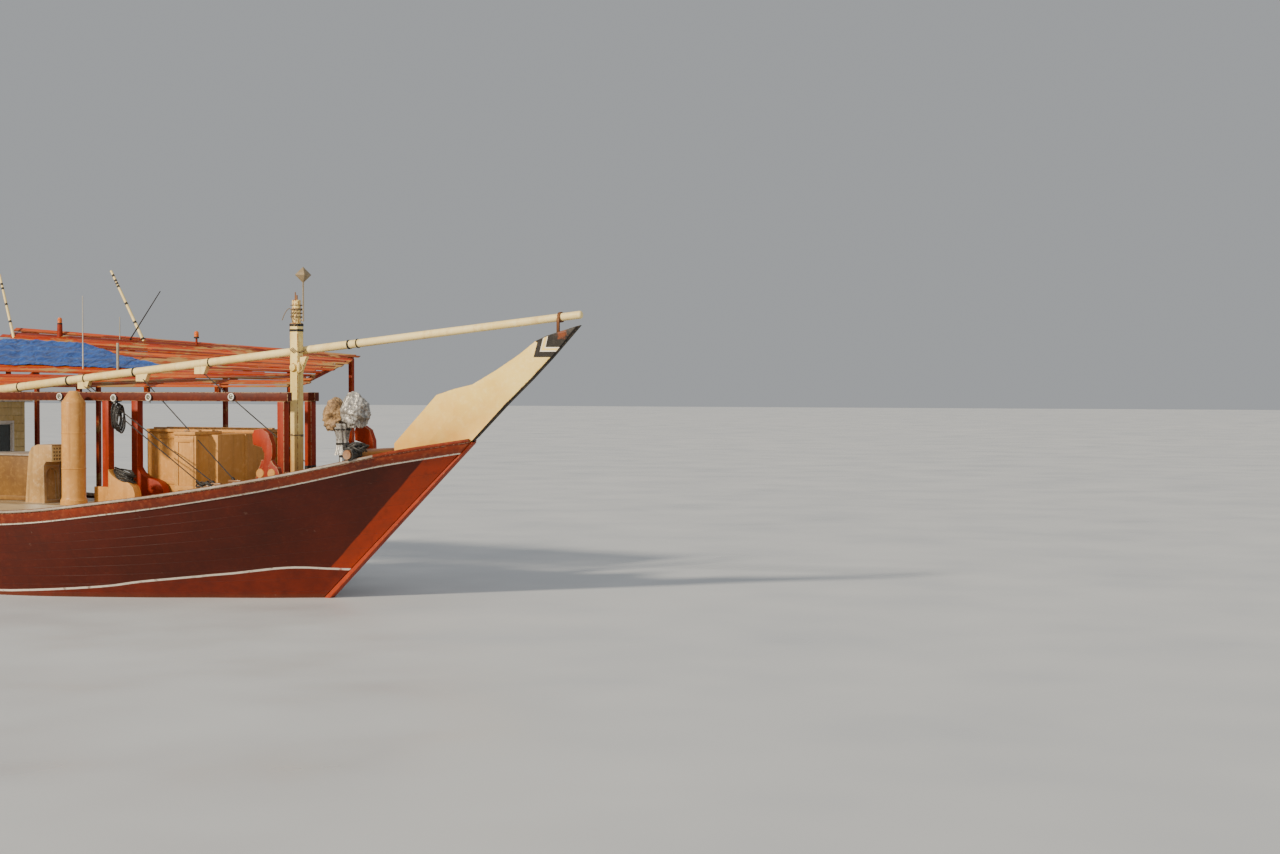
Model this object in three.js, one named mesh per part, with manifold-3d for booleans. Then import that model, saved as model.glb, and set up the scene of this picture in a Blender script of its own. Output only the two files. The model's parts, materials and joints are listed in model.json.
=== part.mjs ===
// A wooden fishing dhow: decked hull, long raked stem, king post, lashed spar, slatted awnings and deckhouse.
// Millimetres. +X is forward, +Y is port, +Z is up. The origin is on the centreline at the waterline.
// Places along the hull are given as millimetres aft of the forefoot, where the stem meets the water.

import * as THREE from "three";
import { mergeVertices } from "three/addons/utils/BufferGeometryUtils.js";
import Module from "manifold-3d";

const wasm = await Module();
wasm.setup();

// Driving dimensions

const FOREFOOT_X = 5600;
const SEAT = 0.3; // the gap left wherever one piece rests on another
const PLANK = 90; // bulwark thickness
const CAP = { inboard: 150, outboard: 60, height: 60 };
const RUB_BAND = { depth: 200, proud: 35 };
const KEEL_HALF = 80;
const STEM_HALF = 75;

// Hull lines, millimetres. Columns: aft of the forefoot, value.
const RAIL_HALF = [
  [-3120, 90], [-2600, 480], [-1920, 950], [-1170, 1430], [-410, 1860], [760, 2310], [2640, 2750],
  [5440, 2950], [8500, 2960], [11500, 2800], [14000, 2500], [16500, 2080],
];
const WATER_HALF = [
  [150, 90], [1000, 590], [2200, 1150], [3200, 1640], [5600, 2430], [8500, 2720], [11500, 2500],
  [14000, 1850], [15700, 1150],
];
const SHEER = [
  [-3120, 2970], [-1920, 2740], [-1170, 2550], [-410, 2370], [760, 2150], [2640, 1870],
  [5440, 1590], [8000, 1540], [10500, 1690], [13000, 2060], [16500, 2800],
];
const BULWARK = [[-3120, 430], [2000, 450], [9000, 470], [12000, 700], [16500, 1000]];
const BOTTOM = [[1500, -1250], [4500, -1320], [9500, -1250], [12500, -900], [15640, -120]];
const FULLNESS = [[-3120, 0], [2000, 0.25], [6000, 0.85], [9500, 1], [13000, 0.6], [16500, 0.2]];

const STEM_END = { rail: -3120, keel: 1500 }; // the planking's raked fore end
const STERN_END = { rail: 16500, keel: 15640 }; // the raked transom
const STATIONS = 26;

// Small helpers

const aft = (a) => FOREFOOT_X - a;
const lerp = (a, b, t) => a + (b - a) * t;

// A smooth curve through a two-column table (monotone cubic).
function curveOf(table) {
  const n = table.length;
  const d = [];
  for (let i = 0; i < n - 1; i++) d.push((table[i + 1][1] - table[i][1]) / (table[i + 1][0] - table[i][0]));
  const m = table.map((_, i) => {
    if (i === 0) return d[0];
    if (i === n - 1) return d[n - 2];
    return d[i - 1] * d[i] <= 0 ? 0 : (2 * d[i - 1] * d[i]) / (d[i - 1] + d[i]);
  });
  return (x) => {
    if (x <= table[0][0]) return table[0][1];
    if (x >= table[n - 1][0]) return table[n - 1][1];
    let i = 0;
    while (x > table[i + 1][0]) i++;
    const h = table[i + 1][0] - table[i][0];
    const t = (x - table[i][0]) / h;
    const a = (1 + 2 * t) * (1 - t) ** 2 * table[i][1] + t * (1 - t) ** 2 * h * m[i];
    return a + t * t * (3 - 2 * t) * table[i + 1][1] + t * t * (t - 1) * h * m[i + 1];
  };
}

// A broken line through points [x, z], read at x.
function lineOf(points) {
  const sorted = [...points].sort((p, q) => p[0] - q[0]);
  return (x) => {
    let i = 0;
    while (i < sorted.length - 2 && x > sorted[i + 1][0]) i++;
    const [p, q] = [sorted[i], sorted[i + 1]];
    return lerp(p[1], q[1], (x - p[0]) / (q[0] - p[0]));
  };
}

function solidOf(geometry) {
  geometry.deleteAttribute("normal");
  geometry.deleteAttribute("uv");
  const merged = mergeVertices(geometry, 1e-3);
  return new wasm.Manifold(
    new wasm.Mesh({
      numProp: 3,
      vertProperties: merged.attributes.position.array,
      triVerts: new Uint32Array(merged.index.array),
    }),
  );
}

function geometryOf(solid) {
  const mesh = solid.getMesh();
  const geometry = new THREE.BufferGeometry();
  const positions = new Float32Array(mesh.numVert * 3);
  for (let i = 0; i < mesh.numVert; i++)
    for (let k = 0; k < 3; k++) positions[3 * i + k] = mesh.vertProperties[i * mesh.numProp + k];
  geometry.setAttribute("position", new THREE.BufferAttribute(positions, 3));
  geometry.setIndex(new THREE.BufferAttribute(new Uint32Array(mesh.triVerts), 1));
  const flat = geometry.toNonIndexed();
  flat.computeVertexNormals();
  return flat;
}

function box(x0, x1, y0, y1, z0, z1) {
  const geometry = new THREE.BoxGeometry(x1 - x0, y1 - y0, z1 - z0);
  geometry.translate((x0 + x1) / 2, (y0 + y1) / 2, (z0 + z1) / 2);
  return solidOf(geometry);
}

// Extrusions of an outline: XZ between two Y, XY between two Z, YZ between two X.
function extruded(points, depth) {
  const shape = new THREE.Shape(points.map(([a, b]) => new THREE.Vector2(a, b)));
  return new THREE.ExtrudeGeometry(shape, { depth, bevelEnabled: false, curveSegments: 8 });
}
const prismXZ = (points, y0, y1) =>
  solidOf(extruded(points, y1 - y0).rotateX(Math.PI / 2).translate(0, y1, 0));
const prismXY = (points, z0, z1) => solidOf(extruded(points, z1 - z0).translate(0, 0, z0));
function prismYZ(points, x0, x1) {
  const turn = new THREE.Matrix4().makeBasis(
    new THREE.Vector3(0, 1, 0), new THREE.Vector3(0, 0, 1), new THREE.Vector3(1, 0, 0),
  );
  return solidOf(extruded(points, x1 - x0).applyMatrix4(turn).translate(x0, 0, 0));
}

function rod(from, to, r0, r1 = r0, sides = 16) {
  const a = new THREE.Vector3(...from);
  const b = new THREE.Vector3(...to);
  const geometry = new THREE.CylinderGeometry(r1, r0, a.distanceTo(b), sides);
  const turn = new THREE.Quaternion().setFromUnitVectors(
    new THREE.Vector3(0, 1, 0), b.clone().sub(a).normalize(),
  );
  geometry.applyQuaternion(turn).translate((a.x + b.x) / 2, (a.y + b.y) / 2, (a.z + b.z) / 2);
  return solidOf(geometry);
}

// A turned piece on the vertical through (x, y): profile rows are radius, height.
function turned(x, y, profile, sides = 24) {
  const points = profile.map(([r, z]) => new THREE.Vector2(r, z));
  return solidOf(new THREE.LatheGeometry(points, sides).rotateX(Math.PI / 2).translate(x, y, 0));
}

// A closed body through rings of equal length, each a list of [x, y, z].
function loft(rings) {
  const n = rings[0].length;
  const positions = rings.flat(2);
  const index = [];
  for (let i = 0; i < rings.length - 1; i++)
    for (let k = 0; k < n; k++) {
      const [a, b] = [i * n + k, i * n + ((k + 1) % n)];
      index.push(a, b, a + n, b, b + n, a + n);
    }
  const last = (rings.length - 1) * n;
  // The end faces are cut as triangles in the YZ plane, turned to follow the ring.
  const flatCap = (ring) => {
    const outline = ring.map(([, y, z]) => new THREE.Vector2(y, z));
    const faces = THREE.ShapeUtils.triangulateShape(outline, []);
    const [a, b, c] = faces[0];
    const follows = (a < b && b < c) || (b < c && c < a) || (c < a && a < b);
    return follows ? faces : faces.map(([p, q, r]) => [p, r, q]);
  };
  for (const [a, b, c] of flatCap(rings[0])) index.push(a, c, b);
  for (const [a, b, c] of flatCap(rings.at(-1))) index.push(last + a, last + b, last + c);
  const geometry = new THREE.BufferGeometry();
  geometry.setAttribute("position", new THREE.BufferAttribute(new Float32Array(positions), 3));
  geometry.setIndex(index);
  const solid = solidOf(geometry);
  if (solid.volume() > 0) return solid;
  const turnedIndex = [];
  for (let i = 0; i < index.length; i += 3) turnedIndex.push(index[i], index[i + 2], index[i + 1]);
  geometry.setIndex(turnedIndex);
  return solidOf(geometry);
}

const joined = (...solids) => solids.flat().reduce((sum, s) => sum.add(s));
const mirrored = (points) => points.map(([x, y, z]) => [x, -y, z]);

// Finishes, from the photograph

const finish = (color, roughness, metalness = 0) => ({ color, roughness, metalness });
const FINISH = {
  hull: finish(0x7a2f1e, 0.6),
  stem: finish(0xa2442c, 0.6),
  rub: finish(0x4a1f16, 0.35),
  cap: finish(0x8d8378, 0.8),
  cream: finish(0xe6dab0, 0.6),
  black: finish(0x1c1a19, 0.6),
  tan: finish(0xcf9c55, 0.6),
  brick: finish(0x96402a, 0.65),
  wood: finish(0x8a5a3a, 0.8),
  deck: finish(0x9a8a70, 0.85),
  white: finish(0xece9df, 0.5),
  tarpaulin: finish(0x2361b4, 0.55),
  foil: finish(0xb9b4a8, 0.35),
  bronze: finish(0xa07c3c, 0.35, 0.9),
  steel: finish(0x8a8f93, 0.4, 0.8),
  dark: finish(0x2c2a28, 0.6),
};

const boat = new THREE.Group();
function add(name, solid, look) {
  const mesh = new THREE.Mesh(geometryOf(solid), new THREE.MeshStandardMaterial(look));
  mesh.name = name;
  boat.add(mesh);
}

// Hull surface

const railHalf = curveOf(RAIL_HALF);
const waterHalf = curveOf(WATER_HALF);
const sheer = curveOf(SHEER);
const bulwark = curveOf(BULWARK);
const bottom = curveOf(BOTTOM);
const fullness = curveOf(FULLNESS);

// One station, 0 at the transom and 1 at the stem: its edges and its half breadth at a height.
function station(u) {
  const aRail = lerp(STERN_END.rail, STEM_END.rail, u);
  const aKeel = lerp(STERN_END.keel, STEM_END.keel, u);
  const zKeel = bottom(aKeel);
  const zRail = sheer(aRail);
  const zDeck = zRail - bulwark(aRail);
  const at = (z) => lerp(aKeel, aRail, (z - zKeel) / (zRail - zKeel));
  const yWater = waterHalf(at(0));
  const yRail = railHalf(aRail);
  const full = fullness(aRail);
  const half = (z) => {
    if (z < 0) {
      const q = (z - zKeel) / -zKeel;
      return KEEL_HALF + (yWater - KEEL_HALF) * Math.sin((q * Math.PI) / 2) ** lerp(1.05, 0.5, full);
    }
    return lerp(yWater, yRail, (z / zRail) ** lerp(1.0, 0.8, full));
  };
  return { zKeel, zRail, zDeck, half, x: (z) => aft(at(z)) };
}

// Stations bunch towards the bow, where the lines turn fastest.
const stationAt = (i) => station(1 - (1 - i / STATIONS) ** 1.15);
const stations = Array.from({ length: STATIONS + 1 }, (_, i) => stationAt(i));

const BELOW = [0, 0.1, 0.28, 0.5, 0.75]; // shares of the depth under water
const ABOVE = [0, 0.35, 0.7, 1]; // shares of the height from water to deck
const hullRing = (s) => {
  const heights = [...BELOW.map((q) => s.zKeel * (1 - q)), ...ABOVE.map((t) => s.zDeck * t)];
  const side = heights.map((z) => [s.x(z), s.half(z), z]);
  return [...side, ...mirrored(side).reverse()];
};
add("hull", loft(stations.map(hullRing)), FINISH.hull);

const deckLine = stations.map((s) => [s.x(s.zDeck), s.zDeck]);
const railLine = stations.map((s) => [s.x(s.zRail), s.zRail]);
const deckHalf = lineOf(stations.map((s) => [s.x(s.zDeck), s.half(s.zDeck)]));
const railHalfLine = lineOf(stations.map((s) => [s.x(s.zRail), s.half(s.zRail)]));
const keelLine = stations.map((s) => [s.x(s.zKeel), s.zKeel]);
const deckZ = lineOf(deckLine);
const railZ = lineOf(railLine);

// The part of a line between two places, lifted by a seat.
function stretch(line, x0, x1, lift = SEAT) {
  const at = lineOf(line);
  const inside = line.filter(([x]) => x > x0 + 1 && x < x1 - 1).sort((p, q) => p[0] - q[0]);
  return [[x0, at(x0)], ...inside, [x1, at(x1)]].map(([x, z]) => [x, z + lift]);
}

// A block that stands on the deck between x0 and x1.
function onDeck(x0, x1, y0, y1, top) {
  return prismXZ([...stretch(deckLine, x0, x1), [x1, top], [x0, top]], y0, y1);
}

// Bulwarks, cap rails and rub bands

const BOW_BLOCK = 24; // the station where the bulwarks end and the solid bow block starts
const BLOCK_GAP = 0.4;
const sideRings = { starboard: (ring) => mirrored(ring), port: (ring) => ring };
for (const [side, toSide] of Object.entries(sideRings)) {
  const wall = stations.slice(0, BOW_BLOCK + 1).map((s, i) => {
    const [lo, mid, hi] = [s.zDeck + SEAT, s.zRail - RUB_BAND.depth, s.zRail];
    const x = (z) => s.x(z) - (i === BOW_BLOCK ? BLOCK_GAP : 0);
    const outer = [lo, mid, hi].map((z) => [x(z), s.half(z), z]);
    return toSide([...outer, [x(hi), s.half(hi) - PLANK, hi], [x(lo), s.half(lo) - PLANK, lo]]);
  });
  add(`bulwark_${side}`, loft(wall), FINISH.hull);
  const cap = stations.slice(0, STATIONS).map((s) => {
    const [lo, hi] = [s.zRail + SEAT, s.zRail + CAP.height];
    const outer = s.half(s.zRail) + CAP.outboard;
    const inner = Math.max(s.half(s.zRail) - CAP.inboard, STEM_HALF + 5);
    return toSide([[s.x(lo), outer, lo], [s.x(lo), outer, hi], [s.x(lo), inner, hi], [s.x(lo), inner, lo]]);
  });
  add(`cap_rail_${side}`, loft(cap), FINISH.cap);
  const band = stations.slice(0, BOW_BLOCK + 1).map((s) => {
    const [lo, hi] = [s.zRail - RUB_BAND.depth, s.zRail];
    const row = (z, out) => [s.x(z), s.half(z) + out, z];
    return toSide([row(lo, SEAT), row(hi, SEAT), row(hi, RUB_BAND.proud), row(lo, RUB_BAND.proud)]);
  });
  add(`rub_band_${side}`, loft(band), FINISH.rub);
}

const bowBlock = stations.slice(BOW_BLOCK).map((s) => {
  const side = [s.zDeck + SEAT, s.zRail].map((z) => [s.x(z), s.half(z), z]);
  return [...side, ...mirrored(side).reverse()];
});
add("bow_block", loft(bowBlock), FINISH.hull);

// The stern rail board stands on the deck between the two bulwarks.
{
  const s = stations[0];
  const lo = s.zDeck + SEAT;
  const hi = railZ(s.x(s.zRail) + 2 * PLANK) - 2;
  const half = (z) => s.half(z) - PLANK - 2;
  const row = (x) => [[x, -half(lo), lo], [x, half(lo), lo], [x, half(hi), hi], [x, -half(hi), hi]];
  const lean = s.x(hi) - s.x(lo);
  const leaned = (ring) => ring.map(([x, y, z]) => [x + (lean * (z - lo)) / (hi - lo), y, z]);
  add("stern_board", loft([leaned(row(s.x(lo) + 1)), leaned(row(s.x(lo) + 1 + PLANK))]), FINISH.hull);
}

// Backbone: keel with its deadwood, stem post and stem-head board

const KEEL = { fore: -1480, heel: -1750 };
const APERTURE = { fore: 13900, back: 14600, low: -1500, high: -660 }; // where the propeller turns

// The rudder turns about a line parallel to the raked stern. Places on it: along it from its heel, aft of it.
const RUDDER = { z0: -1660, offset: 90, stock: 60, length: 3900, half: 36, limit: 35 };
const sternRake = (STERN_END.rail - STERN_END.keel) / (SHEER.at(-1)[1] - BOTTOM.at(-1)[1]);
const rakeLength = Math.hypot(1, sternRake);
const sternX = (z) => aft(STERN_END.keel + sternRake * (z - BOTTOM.at(-1)[1]));
const rudderAt = (along, back) => [
  sternX(RUDDER.z0) - RUDDER.offset - (sternRake * along + back) / rakeLength,
  RUDDER.z0 + (along - sternRake * back) / rakeLength,
];
{
  const under = stretch(keelLine, aft(15600), aft(1520), -SEAT).reverse();
  const foot = [[sternX(KEEL.heel) + 20, KEEL.heel], [aft(1700), KEEL.fore]];
  const skeg = prismXZ([...under, [sternX(-200) + 20, -200], ...foot], -KEEL_HALF, KEEL_HALF);
  const gap = box(aft(APERTURE.back), aft(APERTURE.fore), -200, 200, APERTURE.low, APERTURE.high);
  const shoeEdge = [[-SEAT, -150], [-SEAT, 110], [-90, 110], [-90, -150]];
  const shoe = prismXZ(shoeEdge.map((p) => rudderAt(...p)), -50, 50);
  add("keel", joined(skeg.subtract(gap), shoe), FINISH.hull);
}

const stemFront = (z) => aft(-z / 0.945); // the leading edge, 46 degrees off the vertical
{
  const back = (z) => stations.at(-1).x(z) + SEAT;
  const [low, high] = [-1240, 2965];
  const outline = [[back(low), low], [back(high), high], [stemFront(high) + 40, high], [stemFront(low), low]];
  add("stem_post", prismXZ(outline, -STEM_HALF, STEM_HALF), FINISH.stem);
}

// Columns: forward of the forefoot, height. The edge runs from the deck up, over the knuckle to the tip.
const BOARD_EDGE = [
  [1310, 2780], [2390, 3820], [2755, 3925], [3160, 4010], [3670, 4270], [4150, 4550], [4480, 4780],
];
const BOARD_FRONT = [[4830, 4495], [4395, 4090], [3920, 3680], [3260, 3066]];
const TIP = [[4705, 4870], [5380, 5050], [4860, 4500]];
const BOARD_HALF = 60;
{
  const edge = BOARD_EDGE.map(([l, z]) => [aft(-l), z]);
  const front = BOARD_FRONT.map(([l, z]) => [aft(-l), z]);
  const block = stations[BOW_BLOCK];
  const overBlock = stretch(railLine, block.x(block.zRail) - 12, aft(-3118), 2).reverse();
  const heel = aft(-1460); // just forward of the bow log
  const overDeck = stretch(deckLine, heel, block.x(block.zDeck) - 12).reverse();
  const outline = [...overBlock, ...overDeck, [heel, 2924], ...edge.slice(1), ...front];
  add("stem_board", prismXZ(outline, -BOARD_HALF, BOARD_HALF), FINISH.cream);
  const top = [edge.at(-1)[0] + 0.4, edge.at(-1)[1] + 0.3];
  const foot = [front[0][0] + 0.4, front[0][1] + 0.3];
  const point = TIP.map(([l, z]) => [aft(-l), z]);
  add("stem_tip", prismXZ([top, foot, point[1], point[0]], -BOARD_HALF, BOARD_HALF), FINISH.black);
}

// King post, spar and what sits on them

const MAST = { a: 800, half: 92, top: 5610, neck: 5170, neckHalf: 85 };
{
  const [x, h, n] = [aft(MAST.a), MAST.half, MAST.neckHalf];
  const post = onDeck(x - h, x + h, -h, h, MAST.neck);
  const neck = rod([x, 0, MAST.neck - 1], [x, 0, MAST.top], n, n, 12);
  const cheek = prismXZ([[x + h - 1, 4170], [x + h + 180, 4540], [x + h - 1, 4540]], -40, 40);
  const sheave = rod([x, -h + 1, 4330], [x, -h - 45, 4330], 75, 75, 16);
  add("king_post", joined(post, neck, cheek, sheave), FINISH.cream);
}

// The spar's centre line: it is lashed to the port side of the king post and rests over the stem head.
const SPAR = { fore: [5320, 5240], foreY: 131, aftEnd: [-9150, 3857], aftY: 252, r0: 70, r1: 88 };
const SADDLES = [6300, 4750, 3250]; // blocks under the spar that the guys lead from
const sparAt = (x) => {
  const t = (x - aft(-SPAR.aftEnd[0])) / (SPAR.fore[0] - SPAR.aftEnd[0]);
  return [x, lerp(SPAR.aftY, SPAR.foreY, t), lerp(SPAR.aftEnd[1], SPAR.fore[1], t)];
};
const sparRod = (x0, x1, r0, r1 = r0) => rod(sparAt(x0), sparAt(x1), r0, r1, 16);
{
  const boom = sparRod(aft(-SPAR.aftEnd[0]), aft(-SPAR.fore[0]), SPAR.r1, SPAR.r0);
  const saddles = SADDLES.map((a) => {
    const [[p, y, pz], [q, , qz]] = [sparAt(aft(a) - 150), sparAt(aft(a) + 150)];
    return prismXZ([[p, pz - 140], [q - 60, qz - 160], [q, qz - 50], [p, pz - 50]], y - 45, y + 45);
  });
  add("spar", joined(boom, saddles), FINISH.cream);
}
const STRAP = { a: -4890, half: 25, thick: 24, leg: [20, 56] };
{
  const x = aft(STRAP.a);
  const tipTop = (at) => lerp(TIP[0][1], TIP[1][1], (at - aft(-TIP[0][0])) / (TIP[1][0] - TIP[0][0]));
  const radius = (at) => lerp(SPAR.r1, SPAR.r0, (at - aft(-SPAR.aftEnd[0])) / (SPAR.fore[0] - SPAR.aftEnd[0]));
  const bore = sparRod(x - 90, x + 90, radius(x - 90) + SEAT, radius(x + 90) + SEAT);
  const h = STRAP.half;
  const legTop = sparAt(x)[2] - 20;
  const leg = prismXZ(
    [[x - h, tipTop(x - h) + SEAT], [x + h, tipTop(x + h) + SEAT], [x + h, legTop], [x - h, legTop]], ...STRAP.leg,
  );
  add("spar_strap", joined(sparRod(x - h, x + h, SPAR.r0 + STRAP.thick), leg).subtract(bore), FINISH.steel);
}
{
  const [x, y] = [aft(640), 0];
  const z = 6080;
  const pole = rod([x, y, 5200], [x, y, z - 60], 14, 14, 8);
  const arm = box(aft(MAST.a) + MAST.neckHalf + SEAT, x + 5, -12, 12, 5210, 5240);
  const lower = new THREE.OctahedronGeometry(155).rotateZ(Math.PI / 4).translate(x, y, z);
  add("radar_reflector", joined(pole, arm, solidOf(lower)), FINISH.steel);
}

// Deck pieces: hold coaming, exhaust column, vent, deck box, fish box

const COAMING = { a0: 4400, a1: 8900, half: 1090, top: 1640 };
add(
  "hold_coaming",
  onDeck(aft(COAMING.a1), aft(COAMING.a0), -COAMING.half, COAMING.half, COAMING.top),
  FINISH.deck,
);

const floor = COAMING.top + SEAT;
const COLUMN = { a: 5643, y: -800, r: 235, flange: 265, shoulder: 3665, top: 3885, head: 80 };
add(
  "exhaust_column",
  turned(aft(COLUMN.a), COLUMN.y, [
    [0, floor], [COLUMN.flange, floor], [COLUMN.flange, floor + 90], [COLUMN.r, floor + 150],
    [COLUMN.r, COLUMN.shoulder], [COLUMN.head, COLUMN.top], [0, COLUMN.top],
  ], 32),
  FINISH.tan,
);

// The gooseneck vent: a square trunk whose head stands out forward over an arched niche, its mouth perforated.
const VENT = { a0: 6490, a1: 6910, y: -530, half: 220, top: 2810, head: 220, mouth: 2470, shoulder: 130 };
const NICHE = { half: 150, depth: 70, foot: 60, spring: 2190 };
{
  const [x0, x1] = [aft(VENT.a1), aft(VENT.a0)];
  const nose = x1 + VENT.head;
  const outline = [
    [x0, floor], [x1, floor], [x1, VENT.mouth - 80], [x1 + 60, VENT.mouth], [nose, VENT.mouth], [nose, VENT.top],
    [x0 + 2 * VENT.shoulder, VENT.top], [x0 + 0.8 * VENT.shoulder, VENT.top - 0.35 * VENT.shoulder],
    [x0 + 0.2 * VENT.shoulder, VENT.top - 1.3 * VENT.shoulder], [x0, VENT.top - 2.6 * VENT.shoulder],
  ];
  const body = prismXZ(outline, VENT.y - VENT.half, VENT.y + VENT.half);
  const arch = Array.from({ length: 9 }, (_, i) => {
    const turn = (Math.PI * i) / 8;
    return [VENT.y + NICHE.half * Math.cos(turn), NICHE.spring + NICHE.half * Math.sin(turn)];
  });
  const foot = floor + NICHE.foot;
  const niche = prismYZ(
    [[VENT.y - NICHE.half, foot], [VENT.y + NICHE.half, foot], ...arch], x1 - NICHE.depth, x1 + 10,
  );
  const holes = [-2, -1, 0, 1, 2].flatMap((i) =>
    [50, 120, 190, 260].map((dz) =>
      box(
        nose - 40, nose + 9, VENT.y + 76 * i - 22, VENT.y + 76 * i + 22, VENT.mouth + dz - 18, VENT.mouth + dz + 18,
      )),
  );
  add("gooseneck_vent", [niche, ...holes].reduce((s, h) => s.subtract(h), body), FINISH.tan);
}
const DECK_BOX = { a0: 6950, a1: 8750, y0: -280, y1: 740, top: 2600 };
add(
  "deck_box",
  box(aft(DECK_BOX.a1), aft(DECK_BOX.a0), DECK_BOX.y0, DECK_BOX.y1, floor, DECK_BOX.top),
  FINISH.tan,
);

// The fish box is L-shaped: a short trunk across the boat, its fore corners stepped, and a long wing to port.
const TRUNK = {
  a0: 2200, a1: 2700, half: 1270, top: 3060, step: 190, stepHalf: 868, wing: 4960, wingInner: 560,
  lid: 64, wall: 60, lidInner: 520, floor: 1750,
};
{
  const [x0, x1, xw, h, w] = [aft(TRUNK.a1), aft(TRUNK.a0), aft(TRUNK.wing), TRUNK.half, TRUNK.wall];
  const xs = x1 + TRUNK.step;
  const shell = joined(
    onDeck(x0, x1, -h, h, TRUNK.top),
    onDeck(x1 - 1, xs, -TRUNK.stepHalf, TRUNK.stepHalf, TRUNK.top),
    onDeck(xw, x0 + 1, TRUNK.wingInner, h, TRUNK.top),
  );
  const overCoaming = box(xw - 9, aft(COAMING.a0) + SEAT, 0, COAMING.half + SEAT, 0, floor);
  const hollows = [
    box(x0 + w, x1 - w, -h + w, -TRUNK.lidInner - 40, TRUNK.floor, TRUNK.top + 10),
    box(xw + w, x1 - w, TRUNK.wingInner + w, h - w, TRUNK.floor, TRUNK.top + 10),
  ];
  const batten = (x, y) => box(x - 1, x + 25, y - 45, y + 45, TRUNK.floor + 10, TRUNK.top - 5);
  const battens = [
    ...[-1, 1].map((side) => batten(x1, side * (h - 45))),
    ...[-1, 0, 1].map((side) => batten(xs, side * (TRUNK.stepHalf - 45))),
  ];
  const cut = [overCoaming, ...hollows].reduce((s, o) => s.subtract(o), shell);
  add("fish_box", joined(cut, battens), FINISH.tan);
}
// Each lid is hinged along its inboard lower edge.
for (const [side, a1, y0, y1] of [
  ["starboard", TRUNK.a1, -TRUNK.half - 30, -TRUNK.lidInner],
  ["port", TRUNK.wing, TRUNK.lidInner, TRUNK.half + 30],
]) {
  const [x0, x1] = [aft(a1) + 8, aft(TRUNK.a0) + 30];
  const slab = box(x0, x1, y0, y1, TRUNK.top + SEAT, TRUNK.top + TRUNK.lid);
  const batten = [0.25, 0.75].map((t) => {
    const y = lerp(y0, y1, t);
    return box(x0 + 60, x1 - 40, y - 45, y + 45, TRUNK.top + TRUNK.lid - 1, TRUNK.top + TRUNK.lid + 28);
  });
  add(`fish_box_lid_${side}`, joined(slab, batten), FINISH.tan);
}

// Posts with their scroll knees, kevels and the bow log

// Knees in side view, from the post's face forward. Columns: forward of the face, height over the foot.
const SCROLL_KNEE = [
  [0, 0], [465, 0], [480, 45], [420, 83], [323, 113], [248, 180], [203, 285], [135, 390], [45, 443], [0, 450],
];
const OGEE_KNEE = [
  [0, 0], [668, 0], [682, 120], [675, 250], [630, 355], [540, 430], [430, 468], [300, 492], [180, 530],
  [85, 590], [30, 650], [0, 700],
];
const FOOT_BLOCK = { aft: 210, height: 350, half: 85 }; // abaft the starboard midship post
const POST = { half: 80, y: 420 };
const PAIRS = [
  { name: "mast_guard_post", a: 800, knee: SCROLL_KNEE, kneeHalf: 55, onDeck: true },
  { name: "midship_post", a: 5100, knee: OGEE_KNEE, kneeHalf: 95, onDeck: false },
];
const BEAM = { low: 3690, high: 3860, half: 70, a0: 640, a1: 9000 };
for (const pair of PAIRS)
  for (const [side, sign] of [["starboard", -1], ["port", 1]]) {
    const [x, y] = [aft(pair.a), sign * POST.y];
    const top = BEAM.low - SEAT;
    const post = pair.onDeck
      ? onDeck(x - POST.half, x + POST.half, y - POST.half, y + POST.half, top)
      : box(x - POST.half, x + POST.half, y - POST.half, y + POST.half, floor, top);
    const foot = pair.onDeck ? Math.max(deckZ(x + 70), deckZ(x + 640)) + 4 : floor;
    const face = x + POST.half - 2;
    const outline = pair.knee.map(([dx, dz]) => [face + dx, foot + dz]);
    const parts = [post, prismXZ(outline, y - pair.kneeHalf, y + pair.kneeHalf)];
    if (!pair.onDeck && side === "starboard") {
      const { aft: back, height, half } = FOOT_BLOCK;
      parts.push(box(x - POST.half - back, face, y - half, y + half, floor, floor + height));
    }
    add(`${pair.name}_${side}`, joined(parts), FINISH.brick);
  }

// The carved C-shaped timber heads stand on deck by the bulwarks. Columns: forward, height over the rail.
const KEVEL = { a: 330, half: 60 };
const KEVEL_EDGE = [
  [-230, 870], [-190, 960], [-20, 985], [130, 900], [215, 690], [220, 490], [130, 270], [200, 100],
  [200, -180], [-160, -180], [-180, 60], [-60, 200], [20, 350], [42, 530], [-20, 640], [-215, 690],
];
for (const [side, sign] of [["starboard", -1], ["port", 1]]) {
  const x = aft(KEVEL.a);
  const clear = Math.min(deckHalf(x + 225) - PLANK, railHalfLine(x + 225) - CAP.inboard);
  const y = clear - KEVEL.half - 6;
  const base = railZ(x);
  const edge = KEVEL_EDGE.map(([dx, dz]) => [x + dx, base + dz]);
  const head = prismXZ(edge, sign * y - KEVEL.half, sign * y + KEVEL.half);
  const foot = onDeck(x - 150, x + 170, sign * y - KEVEL.half, sign * y + KEVEL.half, base - 170);
  add(`timber_head_${side}`, joined(head, foot), FINISH.brick);
}
const LOG = { a: -1360, r: 90, half: 1400 };
{
  const x = aft(LOG.a);
  const slope = (railZ(x + LOG.r) - railZ(x - LOG.r)) / (2 * LOG.r);
  const z = railZ(x) + CAP.height + (LOG.r * Math.cos(Math.PI / 16) + SEAT) * Math.hypot(1, slope) + 0.6;
  add("bow_log", rod([x, -LOG.half, z], [x, LOG.half, z], LOG.r, LOG.r, 16), FINISH.wood);
}

// Net hauler on its post, under a sheet

const HAULER = { a: -260, r: 70, top: 3200, skirt: 2680 };
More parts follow.
